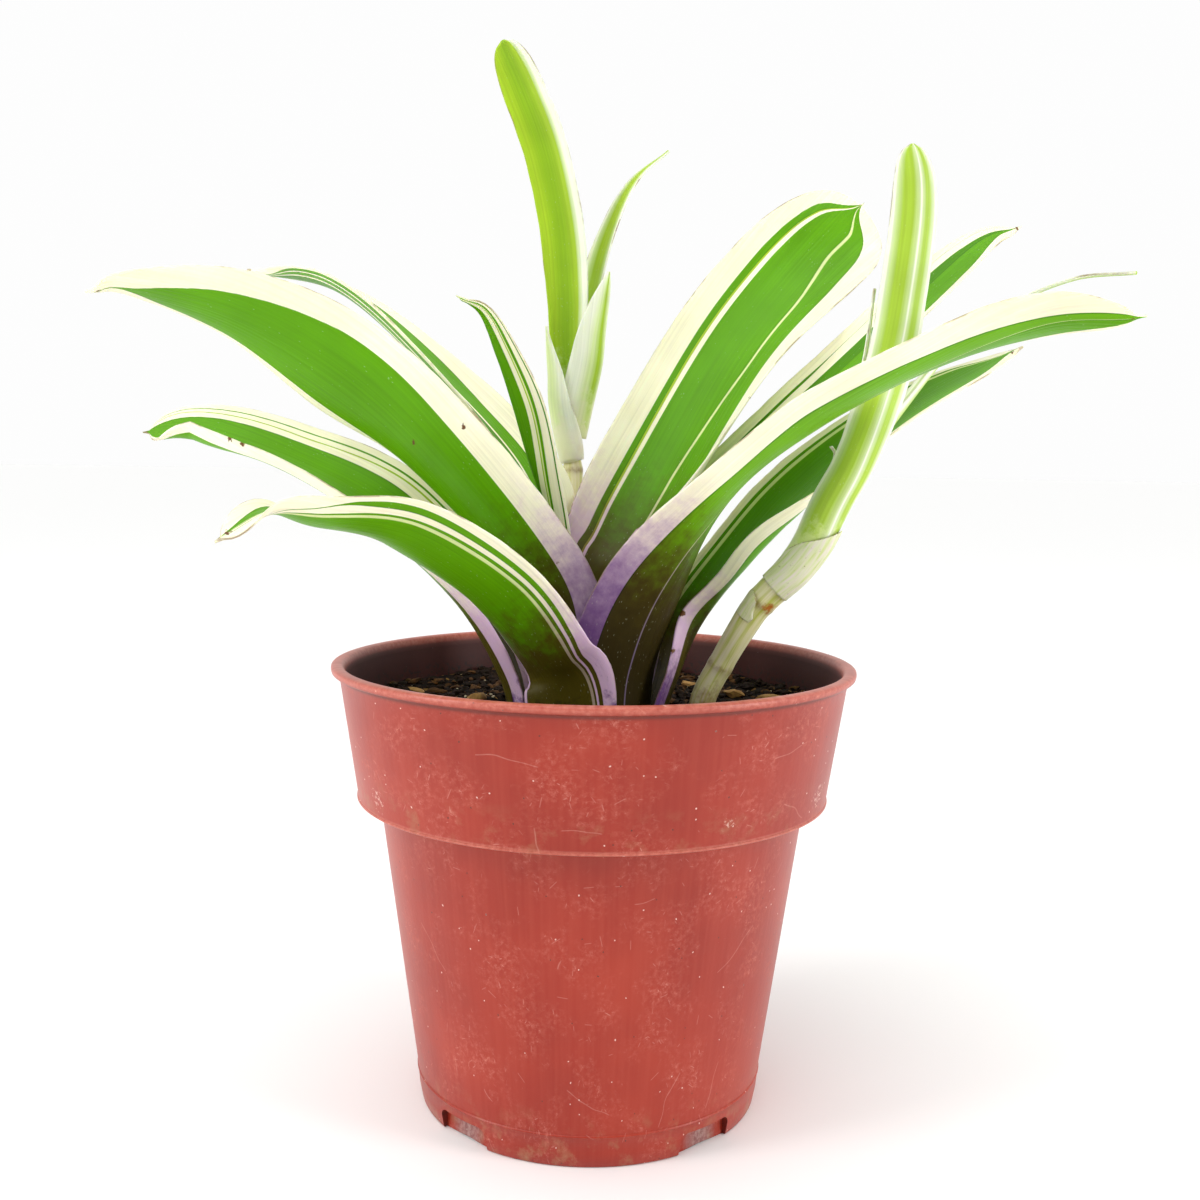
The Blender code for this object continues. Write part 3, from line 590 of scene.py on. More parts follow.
def through(points, count):
    """Catmull-Rom samples through rows of numbers, ends included."""
    points = np.asarray(points, float)
    ends = np.vstack([2 * points[0] - points[1], points, 2 * points[-1] - points[-2]])
    spans = len(points) - 1
    rows = []
    for u in np.linspace(0, spans, count):
        k = min(int(u), spans - 1)
        f = u - k
        a, b, c, d = ends[k:k + 4]
        rows.append(0.5 * (2 * b + (c - a) * f + (2 * a - 5 * b + 4 * c - d) * f ** 2
                           + (3 * b - a - 3 * c + d) * f ** 3))
    return np.array(rows)


class Blade:
    """A channelled strap leaf, in millimetres. u runs from foot (0) to tip (1), v across it from -1 to 1.

    Each row of the route is x, y, z of the keel, the azimuth the leaf leans to, its twist, its bend radius
    and the width of a rolled margin, which is the v -1 one's where it is negative.
    """

    def __init__(self, route, width, foot, sheath, blunt, taper, wave=0.0):
        self.rows = through(route, 201)
        steps = np.linalg.norm(np.diff(self.rows[:, :3], axis=0), axis=1)
        self.length = steps.sum()
        self.along = np.concatenate([[0], np.cumsum(steps)]) / self.length
        self.tangents = np.gradient(self.rows[:, :3], axis=0)
        self.width, self.foot, self.sheath = width, foot, sheath
        self.blunt, self.taper, self.wave = blunt, taper, wave

    def half_width(self, u):
        """Half the width at u: the foot has its own width, the tip is blunt, and past it the end closes."""
        tip = (1 - min(u, 1) ** self.blunt) ** self.taper
        spread = 1 + (self.foot - 1) * max(0, 1 - u / self.sheath) ** 1.5
        beyond = max(0.15, 1 - max(0, u - 1) * self.length / 1.4)
        return max(0.5, 0.5 * self.width * tip * spread) * beyond

    def frame_at(self, u):
        """The keel point, the directions across and up, the bend radius, the roll and the half width."""
        x, y, z, azimuth, twist, bend, rolled = (np.interp(u, self.along, self.rows[:, k]) for k in range(7))
        tangent = Vector([np.interp(u, self.along, self.tangents[:, k]) for k in range(3)]).normalized()
        side = Vector((math.cos(math.radians(azimuth)), math.sin(math.radians(azimuth)), 0))
        side = (side - tangent * tangent.dot(side)).normalized()
        inward = tangent.cross(side)
        turn = math.radians(twist)
        across = side * math.cos(turn) + inward * math.sin(turn)
        up = inward * math.cos(turn) - side * math.sin(turn)
        keel = Vector((x, y, z)) + tangent * max(0, u - 1) * self.length
        return np.array(keel), np.array(across), np.array(up), bend, rolled, self.half_width(u)

    def points(self, here, u, v):
        """The blade's middle surface at each v of a row, and the directions that its inner face looks to."""
        keel, across, up, bend, rolled, half = here
        margin = np.where(rolled * v > 0, min(abs(rolled), 0.85 * half), 0)
        turn = np.minimum(half * np.abs(v), half - margin) / bend
        end = turn + np.maximum(0, half * (np.abs(v) - 1) + margin) / ROLL_RADIUS
        aside = bend * np.sin(turn) + ROLL_RADIUS * (np.sin(end) - np.sin(turn))
        raised = bend * (1 - np.cos(turn)) + ROLL_RADIUS * (np.cos(turn) - np.cos(end))
        raised += self.wave * v ** 3 * math.sin(self.length * u / 7) * min(1, 4 * u) * (1 - min(u, 1))
        place = keel + np.outer(np.copysign(aside, v), across) + np.outer(raised, up)
        return place, np.outer(np.cos(end), up) - np.outer(np.copysign(np.sin(end), v), across)


def stripe_lines(stripes, shares):
    """Where each border between two stripes lies at each share of the leaf's length, from v -1 to 1."""
    lines = [np.full(len(shares), -1.0)]
    for _, border in stripes[:-1]:
        stations = np.array(border if isinstance(border, list) else [(0, border)], float)
        lines.append(np.interp(shares, stations[:, 0], stations[:, 1]))
    lines.append(np.full(len(shares), 1.0))
    for k in range(1, len(lines)):
        lines[k] = np.maximum(lines[k], lines[k - 1] + 0.006)
    for k in range(len(lines) - 2, -1, -1):
        lines[k] = np.minimum(lines[k], lines[k + 1] - 0.006)
    soften = np.ones(7) / 7
    for k in range(1, len(lines) - 1):
        lines[k][3:-3] = np.convolve(lines[k], soften, "valid")
    return lines


def blade_mesh(name, blade, stripes, thickness, step=1.0, edge_noise=0.12, seed=0, marks=(), hooked=True):
    """A closed blade whose mesh lines follow its stripes.

    Each stripe has columns a border width in from both of its sides, so that the band attribute, which counts
    the stripes across the leaf, can colour a fine border along each. Marks are (u, v, radius) of brown spots.
    """
    count = max(24, round(blade.length / step))
    shares = np.linspace(0, 1, count + 1)
    if hooked:
        shares = np.concatenate([shares, 1 + np.array([0.5, 1.0, 1.4]) / blade.length])
    lines = np.array(stripe_lines(stripes, shares))
    typical = blade.half_width(0.5)
    columns = [(0, 0.0)]
    for k in range(len(stripes)):
        inner = max(1, round(typical * float(np.median(lines[k + 1] - lines[k])) / 1.1))
        columns += [(k, 0.1)] + [(k, 0.1 + 0.8 * j / inner) for j in range(1, inner + 1)] + [(k, 1.0)]
    stripe, share = (np.array(column) for column in zip(*columns))
    wide = len(columns)
    rim = min(0.3, 0.4 * typical)
    coords = []
    values = {key: [] for key in BLADE_READINGS}
    for number, u in enumerate(shares):
        here = blade.frame_at(u)
        half = here[5]
        low, high = lines[stripe, number], lines[stripe + 1, number]
        border = np.minimum(0.2 * (high - low), 0.3 / half)
        v = low + border + (high - low - 2 * border) * (share - 0.1) / 0.8
        v = np.where(share <= 0.1, low + border * share / 0.1, v)
        v = np.where(share >= 0.9, high - border * (1 - share) / 0.1, v)
        along = u * blade.length
        frayed = [noise.fractal(Vector((along * 0.16, side, seed)), 0.8, 2.0, 3) for side in (-1, 1)]
        wobble = 1 + edge_noise * np.abs(v) ** 6 * np.where(v < 0, *frayed) / half
        place, facing = blade.points(here, u, v * wobble)
        away = (1 - np.abs(v)) * half
        body = thickness * 0.5 * (0.5 + 0.5 * (1 - v * v))
        body = (body * np.sqrt(np.clip(1 - (1 - np.minimum(away / rim, 1)) ** 2, 0, 1)))[:, None]
        scar = np.zeros(wide)
        for a, b, size in marks:
            scar = np.maximum(scar, 1 - np.hypot((u - a) * blade.length, (v - b) * half) / size)
        to_rim = np.minimum(away, (1 - u) * blade.length + 0.5)
        row = (stripe + share, np.full(wide, along), v * half, to_rim, scar)
        coords += [place - facing * body, (place + facing * body)[1:-1]]
        for key, value in zip(BLADE_READINGS, row):
            values[key] += [value, value[1:-1]]
    pitch = 2 * wide - 2
    outer = [list(range(r * pitch, r * pitch + wide)) for r in range(len(shares))]
    inner = [[o[0], *range(o[-1] + 1, o[0] + pitch), o[-1]] for o in outer]
    faces = []
    for r in range(len(shares) - 1):
        for j in range(wide - 1):
            faces.append((outer[r][j], outer[r][j + 1], outer[r + 1][j + 1], outer[r + 1][j]))
            faces.append((inner[r][j], inner[r + 1][j], inner[r + 1][j + 1], inner[r][j + 1]))
    for j in range(wide - 1):
        foot = (outer[0][j], inner[0][j], inner[0][j + 1], outer[0][j + 1])
        tip = (outer[-1][j], outer[-1][j + 1], inner[-1][j + 1], inner[-1][j])
        faces += [list(dict.fromkeys(foot)), list(dict.fromkeys(tip))]
    mesh = bpy.data.meshes.new(name)
    mesh.from_pydata(np.concatenate(coords) * MM, [], faces)
    for key, parts in values.items():
        reading = mesh.attributes.new(key, "FLOAT", "POINT")
        reading.data.foreach_set("value", np.concatenate(parts).astype(np.float32))
    mesh.shade_smooth()
    return mesh


# What a stripe looks like: in the blade, at its border, where the base is flushed and at the very foot
CREAM = ("FBF5D8", "F0EABC", "DCBAD6", "5E2E78")
GREEN = ("5E9F00", "478200", "51480E", "33290F")
DEEP = ("4C8A00", "407800", "443E10", "2A2610")
# A lighter copy of the green, painted light for the right front leaf, whose face towards the viewer lies in
# shade
LIT_GREEN = ("6AAA00", "529000", "5A4E10", "33290F")
LIME = ("A8C430", "98BA24", "8A7838", "5A4A28")
PALE = ("DCE6A4", "CCDB86", "B4A28E", "7A6888")


def leathery_blade(name, stripes, flush_mm, deep_mm, sheen=0.22, roughness=0.4, soft=False):
    """Living leaf: a waxy skin over translucent flesh, with fine veins along it and scattered white scurf.

    Flush_mm is how far up the leaf the brown and lavender of its base reach, and deep_mm how far the darkest
    tone at its foot does. A soft blade's stripes run into one another.
    """
    mat, surface, add = finish(name, roughness, 1.45, Specular_IOR_Level=sheen, Subsurface_Weight=0.3,
                               Subsurface_Radius=(0.8, 1.0, 0.3), Subsurface_Scale=0.001)
    band, along, across, rim, scar = [add("Attribute", attribute_name=key, out="Fac")
                                      for key in BLADE_READINGS]
    total = len(stripes)
    vein = add("CombineXYZ", across, along)
    # Veins about 0.5 mm apart run the leaf's length, and the stripes' borders wander with them
    long = add("Mapping", vein, Scale=(2.0, 0.02, 1))
    thread = add("TexNoise", long, Scale=1, Detail=3, Roughness=0.6)
    nudge = add("MapRange", thread, 0.3, 0.7, -0.02, 0.02)
    band = add("Math", band, nudge)
    band = add("Math", band, total, operation="DIVIDE")
    tones = []
    for tone in (0, 2, 3):
        stops = []
        for k, (look, _) in enumerate(stripes):
            if soft:
                stops += [((k + 0.3) / total, look[tone]), ((k + 0.7) / total, look[tone])]
                continue
            edge = 1 if tone == 0 and look is not CREAM else tone
            stops += [((k + 0.015) / total, look[edge]), ((k + 0.985) / total, look[tone])]
            if edge != tone:
                stops.append(((k + 0.11) / total, look[tone]))
        tones.append(add("ValToRGB", band, stops=stops))
    fresh, flushed, foot = tones
    # Threads of lighter and darker colour within the stripes, and broad clouds 15 mm long
    thread = add("MapRange", thread, 0.25, 0.75, 0.84, 1.16)
    cloud = add("TexNoise", vein, Scale=0.07, Detail=2)
    cloud = add("MapRange", cloud, 0.3, 0.7, 0.9, 1.1)
    thread = add("Math", thread, cloud, operation="MULTIPLY")
    shade = add("CombineXYZ", thread, thread, thread)
    fresh = add("Mix", 0.75, fresh, shade, data_type="RGBA", blend_type="MULTIPLY")
    # The flush fades upwards through blotches of some 3 mm
    blotch = add("TexNoise", vein, Scale=0.3, Detail=5, Roughness=0.65)
    blotch = add("MapRange", blotch, 0.2, 0.8, -8, 8)
    high = add("Math", along, blotch)
    flush = add("MapRange", high, flush_mm * 0.45, flush_mm, 1, 0, interpolation_type="SMOOTHSTEP")
    deep = add("MapRange", high, deep_mm * 0.3, deep_mm, 0.9, 0, interpolation_type="SMOOTHSTEP")
    # Scurf: pale dashes some 0.3 mm wide, drawn as wide as that so that they show, thicker near the base
    long = add("Mapping", vein, Scale=(1.3, 0.5, 1))
    fleck = add("TexVoronoi", long, Scale=1, voronoi_dimensions="2D")
    fleck = add("MapRange", fleck, 0.05, 0.12, 0.24, 0)
    sparse = add("TexNoise", vein, Scale=0.35, Detail=2)
    lift = add("MapRange", along, 0, 60, 0.08, -0.02)
    sparse = add("Math", sparse, lift)
    sparse = add("MapRange", sparse, 0.56, 0.64)
    fleck = add("Math", fleck, sparse, operation="MULTIPLY")
    # Here and there the very edge has dried to a brown hairline
    dry = add("TexNoise", vein, Scale=0.09, Detail=4, Roughness=0.6)
    dry = add("MapRange", dry, 0.48, 0.6, 0, 0.75)
    edge = add("MapRange", rim, 0.08, 0.3, 1, 0)
    edge = add("Math", edge, dry, operation="MULTIPLY")
    # Bruises and nicks dry brown
    ragged = add("TexNoise", vein, Scale=1.3, Detail=4)
    ragged = add("MapRange", ragged, 0.3, 0.7, -0.35, 0.2)
    scar = add("Math", scar, ragged)
    scar = add("MapRange", scar, 0.35, 0.55)
    # Each of these lies over the ones before it
    colour = fresh
    for amount, tone in ((flush, flushed), (deep, foot), (fleck, "DDE3C8"), (edge, "7E5E40"),
                         (scar, "6E4824")):
        colour = add("Mix", amount, colour, tone, data_type="RGBA")
    ridge = add("Mapping", vein, Scale=(1.6, 0.012, 1))
    ridge = add("TexNoise", ridge, Scale=1, Detail=2)
    bump = add("Bump", Height=ridge, Distance=0.0003, Strength=0.35)
    pore = add("TexNoise", vein, Scale=3.5, Detail=2)
    bump = add("Bump", Height=pore, Distance=0.00005, Strength=0.4, Normal=bump)
    rough = add("MapRange", blotch, -8, 8, roughness - 0.05, roughness + 0.08)
    feed(surface, Base_Color=colour, Normal=bump, Roughness=rough)
    return mat


def rosette_route(stations):
    """A route's rows from stations of azimuth, distance from the plant's axis, height, twist and bend."""
    route = []
    for azimuth, out, up, twist, bend, *rolled in stations:
        angle = math.radians(azimuth)
        x = PLANT_X + out * math.sin(angle)
        route.append((x, -out * math.cos(angle), up, azimuth, twist, bend, *(rolled or [0])))
    return route


# Each leaf: its stations, width, foot ratio, bluntness, taper and wave; its stripes from v -1 to 1, each
# with the border above it; how far the flush reaches; its brown marks
ROSETTE = {
    "leaf_centre": (
        ([(-80, 6.1, 76.2, 0, 6.1), (-80, 6.2, 98, 0, 6.2), (-78, 6.2, 113, 4, 6.1), (-76, 9.0, 126, 23, 9),
          (-76, 12.3, 139.9, 43, 12), (-76, 17.2, 151.8, 45, 12), (-76, 20.9, 158.3, 50, 13),
          (-76, 25.2, 160.4, 48, 13)], 10.9, 1.9, 3, 0.7, 0),
        [(GREEN, [(0.5, -0.3), (0.6, -0.1), (0.7, 0.0), (0.85, -0.08), (1, -0.25)]),
         (CREAM, [(0.5, 0.15), (0.7, 0.24), (1, 0.2)]), (LIME, [(0.5, 0.2), (0.7, 0.3), (1, 0.27)]),
         (PALE, [(0.5, 0.28), (0.7, 0.38), (1, 0.36)]), (GREEN, [(0.5, 0.4), (0.7, 0.52), (1, 0.6)]),
         (CREAM, 0.84), (DEEP, 0.9), (CREAM, 1)], 20, [(0.995, 0, 0.7)]),
    "leaf_back_right": (
        ([(142, 7.3, 76.2, 0, 7.3), (142, 7.5, 95, 0, 7.5), (140, 8.8, 107, 6, 8.6),
          (136, 15.9, 115.5, 8, 11.5), (133, 41.6, 150.8, 14, 22), (130.5, 61, 172, 33, 27),
          (130, 82.4, 190.6, 62, 28)], 34, 0.77, 9, 0.5, 0.3),
        [(CREAM, [(0.9, -0.64), (0.94, -0.58), (0.962, -0.44), (0.978, -0.2), (0.985, 0.0)]),
         (GREEN,
          [(0.2, -0.03), (0.4, -0.12), (0.6, -0.345), (0.75, -0.345), (0.87, -0.215), (0.95, -0.3),
           (0.975, -0.02), (0.985, 0.03)]),
         (PALE,
          [(0.2, -0.0), (0.4, -0.08), (0.6, -0.305), (0.75, -0.305), (0.87, -0.165), (0.95, -0.24),
           (0.975, 0.02), (0.985, 0.05)]),
         (GREEN,
          [(0.2, 0.42), (0.3, 0.5), (0.6, 0.48), (0.9, 0.49), (0.95, 0.44), (0.972, 0.22), (0.985, 0.07)]),
         (CREAM,
          [(0.2, 0.46), (0.3, 0.54), (0.6, 0.545), (0.9, 0.56), (0.95, 0.5), (0.972, 0.26), (0.985, 0.09)]),
         (LIME,
          [(0.2, 0.49), (0.3, 0.565), (0.6, 0.575), (0.9, 0.58), (0.95, 0.53), (0.972, 0.28), (0.985, 0.11)]),
         (GREEN,
          [(0.2, 0.6), (0.3, 0.65), (0.6, 0.655), (0.9, 0.7), (0.945, 0.7), (0.965, 0.6), (0.978, 0.38),
           (0.985, 0.14)]), (CREAM, 1)], 62,
        [(0.52, -0.99, 0.9), (0.92, -0.93, 0.6), (0.997, 0.05, 0.9), (0.36, 0.52, 0.5)]),
    "leaf_right_high": (
        ([(115, 8.5, 76.2, 0, 8.5), (115, 9.1, 92, 0, 8.9), (112, 14.5, 106.8, 0, 10),
          (109, 28.2, 122.5, 9, 15), (108.5, 46, 139.6, 13, 15.5), (108.5, 61, 153, 17, 16),
          (108.5, 87.5, 177, 36, 16.5), (108.5, 98.5, 182, 46, 16.5)], 20, 1.2, 4, 0.65, 0.3),
        [(CREAM, [(0.0, -0.82), (0.9, -0.82), (0.96, -0.5), (0.985, -0.1)]),
         (GREEN, [(0.0, 0.06), (0.9, 0.05), (0.985, 0.0)]),
         (DEEP, [(0.0, 0.42), (0.88, 0.42), (0.96, 0.25), (0.985, 0.1)]),
         (CREAM, [(0.0, 0.62), (0.6, 0.64), (0.66, 0.7), (1, 0.7)]),
         (DEEP, [(0.0, 0.72), (0.58, 0.72), (0.65, 0.7), (1, 0.7)]), (CREAM, 1)], 40, [(0.998, 0, 1.1)]),
    "leaf_back_left": (
        ([(-118, 9.7, 76.2, 0, 9.7), (-118, 10.3, 92, 0, 10.2), (-116, 11.8, 111, 0, 12),
          (-115, 15.2, 127, -3, 15), (-115, 36.4, 148, 6, 16), (-115, 60.1, 165.5, 9, 17),
          (-115, 84, 171, 0, 17)], 23.5, 1.1, 4.5, 0.6, 0.3),
        [(CREAM,
          [(0.3, -0.45), (0.5, -0.45), (0.62, -0.6), (0.8, -0.68), (0.92, -0.6), (0.97, -0.3),
           (0.985, -0.05)]), (GREEN, [(0.3, -0.12), (0.9, -0.12), (0.985, -0.03)]),
         (CREAM, [(0.3, -0.07), (0.9, -0.07), (0.985, 0)]), (DEEP, [(0.3, 0.5), (0.9, 0.5), (0.985, 0.05)]),
         (CREAM, [(0.3, 0.57), (0.9, 0.57), (0.985, 0.08)]),
         (GREEN, [(0.3, 0.74), (0.9, 0.74), (0.985, 0.1)]),
         (CREAM, [(0.3, 0.79), (0.9, 0.79), (0.985, 0.12)]),
         (GREEN, [(0.3, 0.92), (0.9, 0.92), (0.985, 0.14)]), (CREAM, 1)], 40, []),
    "leaf_left": (
        ([(-45, 10.9, 76.2, 0, 10.9), (-45, 11.4, 92, 2, 11.4), (-58, 14, 107, 15, 13),
          (-69, 33.5, 130.8, 32, 15), (-73, 49.6, 145, 53, 16), (-74, 68.1, 155.2, 36, 16.5),
          (-74, 86.6, 159.5, 18, 16.5), (-74, 92.2, 158.5, 12, 16.5)], 27, 1.05, 4.5, 0.6, 0.3),
        [(CREAM, [(0.0, -0.72), (0.85, -0.72), (0.92, -0.55), (0.955, -0.1)]),
         (GREEN,
          [(0.0, 0.6), (0.25, 0.58), (0.5, 0.62), (0.66, 0.65), (0.76, 0.58), (0.86, 0.48), (0.92, 0.3),
           (0.955, 0)]), (CREAM, 1)], 50,
        [(0.5, 0.02, 0.7), (0.47, 0.78, 0.6), (0.995, 0.0, 1.1), (0.24, 0.62, 0.7)]),
    "leaf_right_front": (
        ([(38, 13.2, 76.2, 0, 13.2), (40, 13.9, 89, -3, 13.8), (49, 19.4, 105, -9, 15),
          (59, 32, 123.8, 7, 15), (65, 46.6, 136.4, -1, 15.5), (66, 66, 147, -8, 16),
          (66, 85.8, 154.6, -28, 16.5), (66, 101, 154.9, -44, 16.5)], 24.6, 1.1, 4, 0.65, 0.3),
        [(CREAM,
          [(0.0, -0.6), (0.15, -0.64), (0.3, -0.6), (0.38, -0.58), (0.44, -0.53), (0.55, -0.62), (0.7, -0.54),
           (0.8, -0.4), (0.88, -0.22), (0.92, -0.2), (0.96, -0.3), (1.0, -0.5)]),
         (DEEP,
          [(0.0, -0.58), (0.15, -0.62), (0.3, -0.58), (0.38, -0.56), (0.44, -0.51), (0.55, -0.6),
           (0.7, -0.52), (0.8, -0.38), (0.88, -0.2), (0.92, -0.18), (0.96, -0.28), (1.0, -0.48)]),
         (LIT_GREEN, [(0.0, -0.05), (0.3, 0.0), (0.36, 0.1), (1, 0.1)]),
         (PALE, [(0.0, -0.03), (0.3, 0.02), (0.36, 0.11), (1, 0.11)]),
         (GREEN, [(0.0, 0.86), (0.9, 0.86), (0.98, 0.7)]), (CREAM, 1)], 56, [(0.995, 0, 0.8)]),
    "leaf_right_low": (
        ([(97, 16, 76.2, 0, 16), (98, 18.3, 84.4, -0.5, 16), (102, 23.7, 96.5, 3.5, 7.7, -0.7),
          (104.5, 34.5, 110.9, 10.4, 14.5, -6.2), (105.5, 49.5, 126.1, 16.8, 17.6, -2.7),
          (105.5, 69.9, 141.2, 16.2, 18.6, -1.1), (105.5, 96.8, 155.3, 15.2, 19)], 21.8, 1.2, 4, 0.65, 0.3),
        [(CREAM, [(0.0, -0.7), (0.3, -0.74), (0.9, -0.74), (0.96, -0.4), (0.985, -0.05)]),
         (GREEN, [(0.0, 0.64), (0.3, 0.7), (0.9, 0.7), (0.985, 0.0)]),
         (PALE, [(0.0, 0.7), (0.3, 0.78), (0.9, 0.78), (0.985, 0.03)]),
         (GREEN, [(0.0, 0.78), (0.3, 0.85), (0.9, 0.85), (0.985, 0.06)]), (CREAM, 1)], 36,
        [(0.12, -0.98, 1.2), (0.18, -0.98, 1.4), (0.985, -0.4, 1.0), (0.99, 0.5, 1.0)]),
    "leaf_left_low": (
        ([(-97, 14.8, 76.2, 0, 14.8), (-97, 17, 85.6, 1.6, 15, 1.0), (-97, 25.9, 101.6, -8.6, 15.8, 3.2),
          (-96.5, 43, 118.7, -23.4, 16.1, 3.3), (-96, 64.3, 129.5, -18.8, 16.1, 3.4),
          (-96, 81.8, 134.4, -37.5, 15, 7.1), (-96, 91.4, 134.2, -63.3, 14, 6)], 28.5, 0.85, 4.5, 0.6, 0.3),
        [(CREAM, [(0.0, -0.9), (0.6, -0.88), (0.7, -0.86)]),
         (GREEN, [(0.0, -0.86), (0.6, -0.85), (0.7, -0.84)]),
         (CREAM, [(0.0, -0.8), (0.5, -0.8), (0.62, -0.76), (0.7, -0.74)]),
         (LIME, [(0.0, -0.77), (0.5, -0.77), (0.62, -0.74), (0.7, -0.72)]),
         (CREAM, [(0.0, -0.63), (0.5, -0.62), (0.9, -0.58), (0.95, -0.5)]),
         (GREEN, [(0.0, 0.72), (0.9, 0.74), (1, 0.7)]), (CREAM, 1)], 40,
        [(0.8, 0.98, 1.3), (0.77, 0.97, 1.1)]),
    "leaf_front_left": (
        ([(-10, 15.9, 76.2, 0, 15.9), (-12, 16.8, 86, -3, 16), (-22, 19.3, 91.8, -8, 15.5),
          (-36, 28.8, 104.6, 11, 15), (-48, 43.8, 115.2, 19, 15.5), (-53, 58.4, 118, 14, 11),
          (-54, 66.8, 119.8, 0, 8.5), (-54, 75, 115.6, -28, 9)], 21.6, 0.86, 4.5, 0.6, 0.6),
        [(CREAM, [(0.0, -0.9), (0.78, -0.86), (0.88, -0.6), (0.95, -0.2)]),
         (GREEN,
          [(0.08, 0.52), (0.13, 0.44), (0.2, 0.54), (0.3, 0.54), (0.5, 0.5), (0.7, 0.5), (0.8, 0.4),
           (0.88, 0.2), (0.95, 0.0)]),
         (PALE,
          [(0.08, 0.57), (0.13, 0.49), (0.2, 0.6), (0.3, 0.6), (0.5, 0.57), (0.7, 0.57), (0.8, 0.5),
           (0.88, 0.26), (0.95, 0.04)]),
         (GREEN,
          [(0.08, 0.61), (0.13, 0.53), (0.2, 0.66), (0.3, 0.67), (0.5, 0.63), (0.7, 0.62), (0.8, 0.55),
           (0.88, 0.3), (0.95, 0.07)]),
         (CREAM,
          [(0.08, 0.65), (0.13, 0.57), (0.2, 0.71), (0.3, 0.74), (0.5, 0.72), (0.7, 0.76), (0.76, 0.84),
           (0.95, 0.2)]),
         (GREEN,
          [(0.08, 0.73), (0.13, 0.65), (0.2, 0.79), (0.3, 0.83), (0.5, 0.83), (0.6, 0.87), (0.7, 0.9),
           (0.76, 0.86), (0.95, 0.24)]), (CREAM, 1)], 34, [(0.985, 0, 1.3), (0.06, 0.98, 1.2)]),
}

# How far up the darkest tone reaches where it reaches high
DARK_FEET = {"leaf_right_front": 50, "leaf_left": 40, "leaf_back_right": 30, "leaf_right_low": 16}

for number, (name, (form, stripes, flush_mm, marks)) in enumerate(ROSETTE.items()):
    stations, width, foot, blunt, taper, wave = form
    blade = Blade(rosette_route(stations), width, foot, 0.35, blunt, taper, wave)
    mesh = blade_mesh(name + "_blade", blade, stripes, LEAF_THICKNESS, seed=number * 3.7, marks=marks)
    skin = leathery_blade(name + "_skin", stripes, flush_mm, DARK_FEET.get(name, 8))
    piece(name + "_blade", mesh, skin, "rosette_leaf", name)


# Runners
# Each pup hangs on a runner: a round fleshy stem, pale green to cream, with a ring joint every 15 to
# 20 mm where a papery scale once sat. Scraps of the scales have dried brown on the joints.
RUNNER_READINGS = ("along_mm", "joint", "aside_mm", "front_mm")

# Each runner: x, y, z and radius of its stations, and how far from its foot its joints are
RUNNERS = {
    "runner_back": (
        [(-2.6, 20.0, 62, 2.4), (-2.85, 20.6, 72, 2.4), (-3.1, 21.2, 82, 2.4), (-3.7, 22.6, 95, 2.4),
         (-4.5, 24.2, 109, 2.35), (-5.1, 25.4, 121, 2.2), (-5.4, 26.0, 127.6, 2.2), (-5.5, 26.2, 130, 1.9)],
        (26, 44, 66)),
    "runner_right": (
        [(19.8, -0.8, 62, 2.5), (21.0, -1.4, 72, 2.55), (22.2, -2.0, 82, 2.6), (26.0, -3.0, 90.2, 2.6),
         (28.7, -4.0, 95.5, 2.75), (31.7, -5.0, 100.8, 2.95), (34.7, -6.0, 104.4, 3.1),
         (37.0, -6.6, 106.6, 3.0), (38.4, -6.85, 108.1, 2.0), (40.2, -7.05, 110.5, 1.2)], (28, 43.5)),
}


def runner_mesh(name, route, joints):
    """A round stem along its stations, pinched and ringed at its joints, and closed at its ends."""
    line = through(route, 160)
    steps = np.concatenate([[0], np.cumsum(np.linalg.norm(np.diff(line[:, :3], axis=0), axis=1))])
    bm = bmesh.new()
    layers = [bm.verts.layers.float.new(key) for key in RUNNER_READINGS]
    rings, sides = [], 40
    for k, (x, y, z, radius) in enumerate(line):
        tangent = Vector(line[min(k + 1, len(line) - 1), :3] - line[max(k - 1, 0), :3]).normalized()
        side = tangent.cross(Vector((0, 1, 0.2))).normalized()
        other = tangent.cross(side)
        apart = min(abs(steps[k] - joint) for joint in joints)
        swell = 1 + 0.035 * math.exp(-(apart / 0.7) ** 2) - 0.012 * math.exp(-((apart - 2.0) / 1.2) ** 2)
        ring = []
        for j in range(sides):
            angle = 2 * math.pi * j / sides
            over, front = math.cos(angle), math.sin(angle)
            knock = 1 + 0.03 * noise.noise(Vector((over * 1.5, front * 1.5, steps[k] * 0.15)))
            out = side * over + other * front
            vert = bm.verts.new((Vector((x, y, z)) + out * radius * swell * knock) * MM)
            readings = (steps[k], math.exp(-(apart / 0.8) ** 2), radius * over, radius * front)
            for layer, reading in zip(layers, readings):
                vert[layer] = reading
            ring.append(vert)
        rings.append(ring)
    bridge(bm, rings)
    bm.faces.new(rings[0])
    bm.faces.new(rings[-1])
    return smooth_mesh(name, bm)


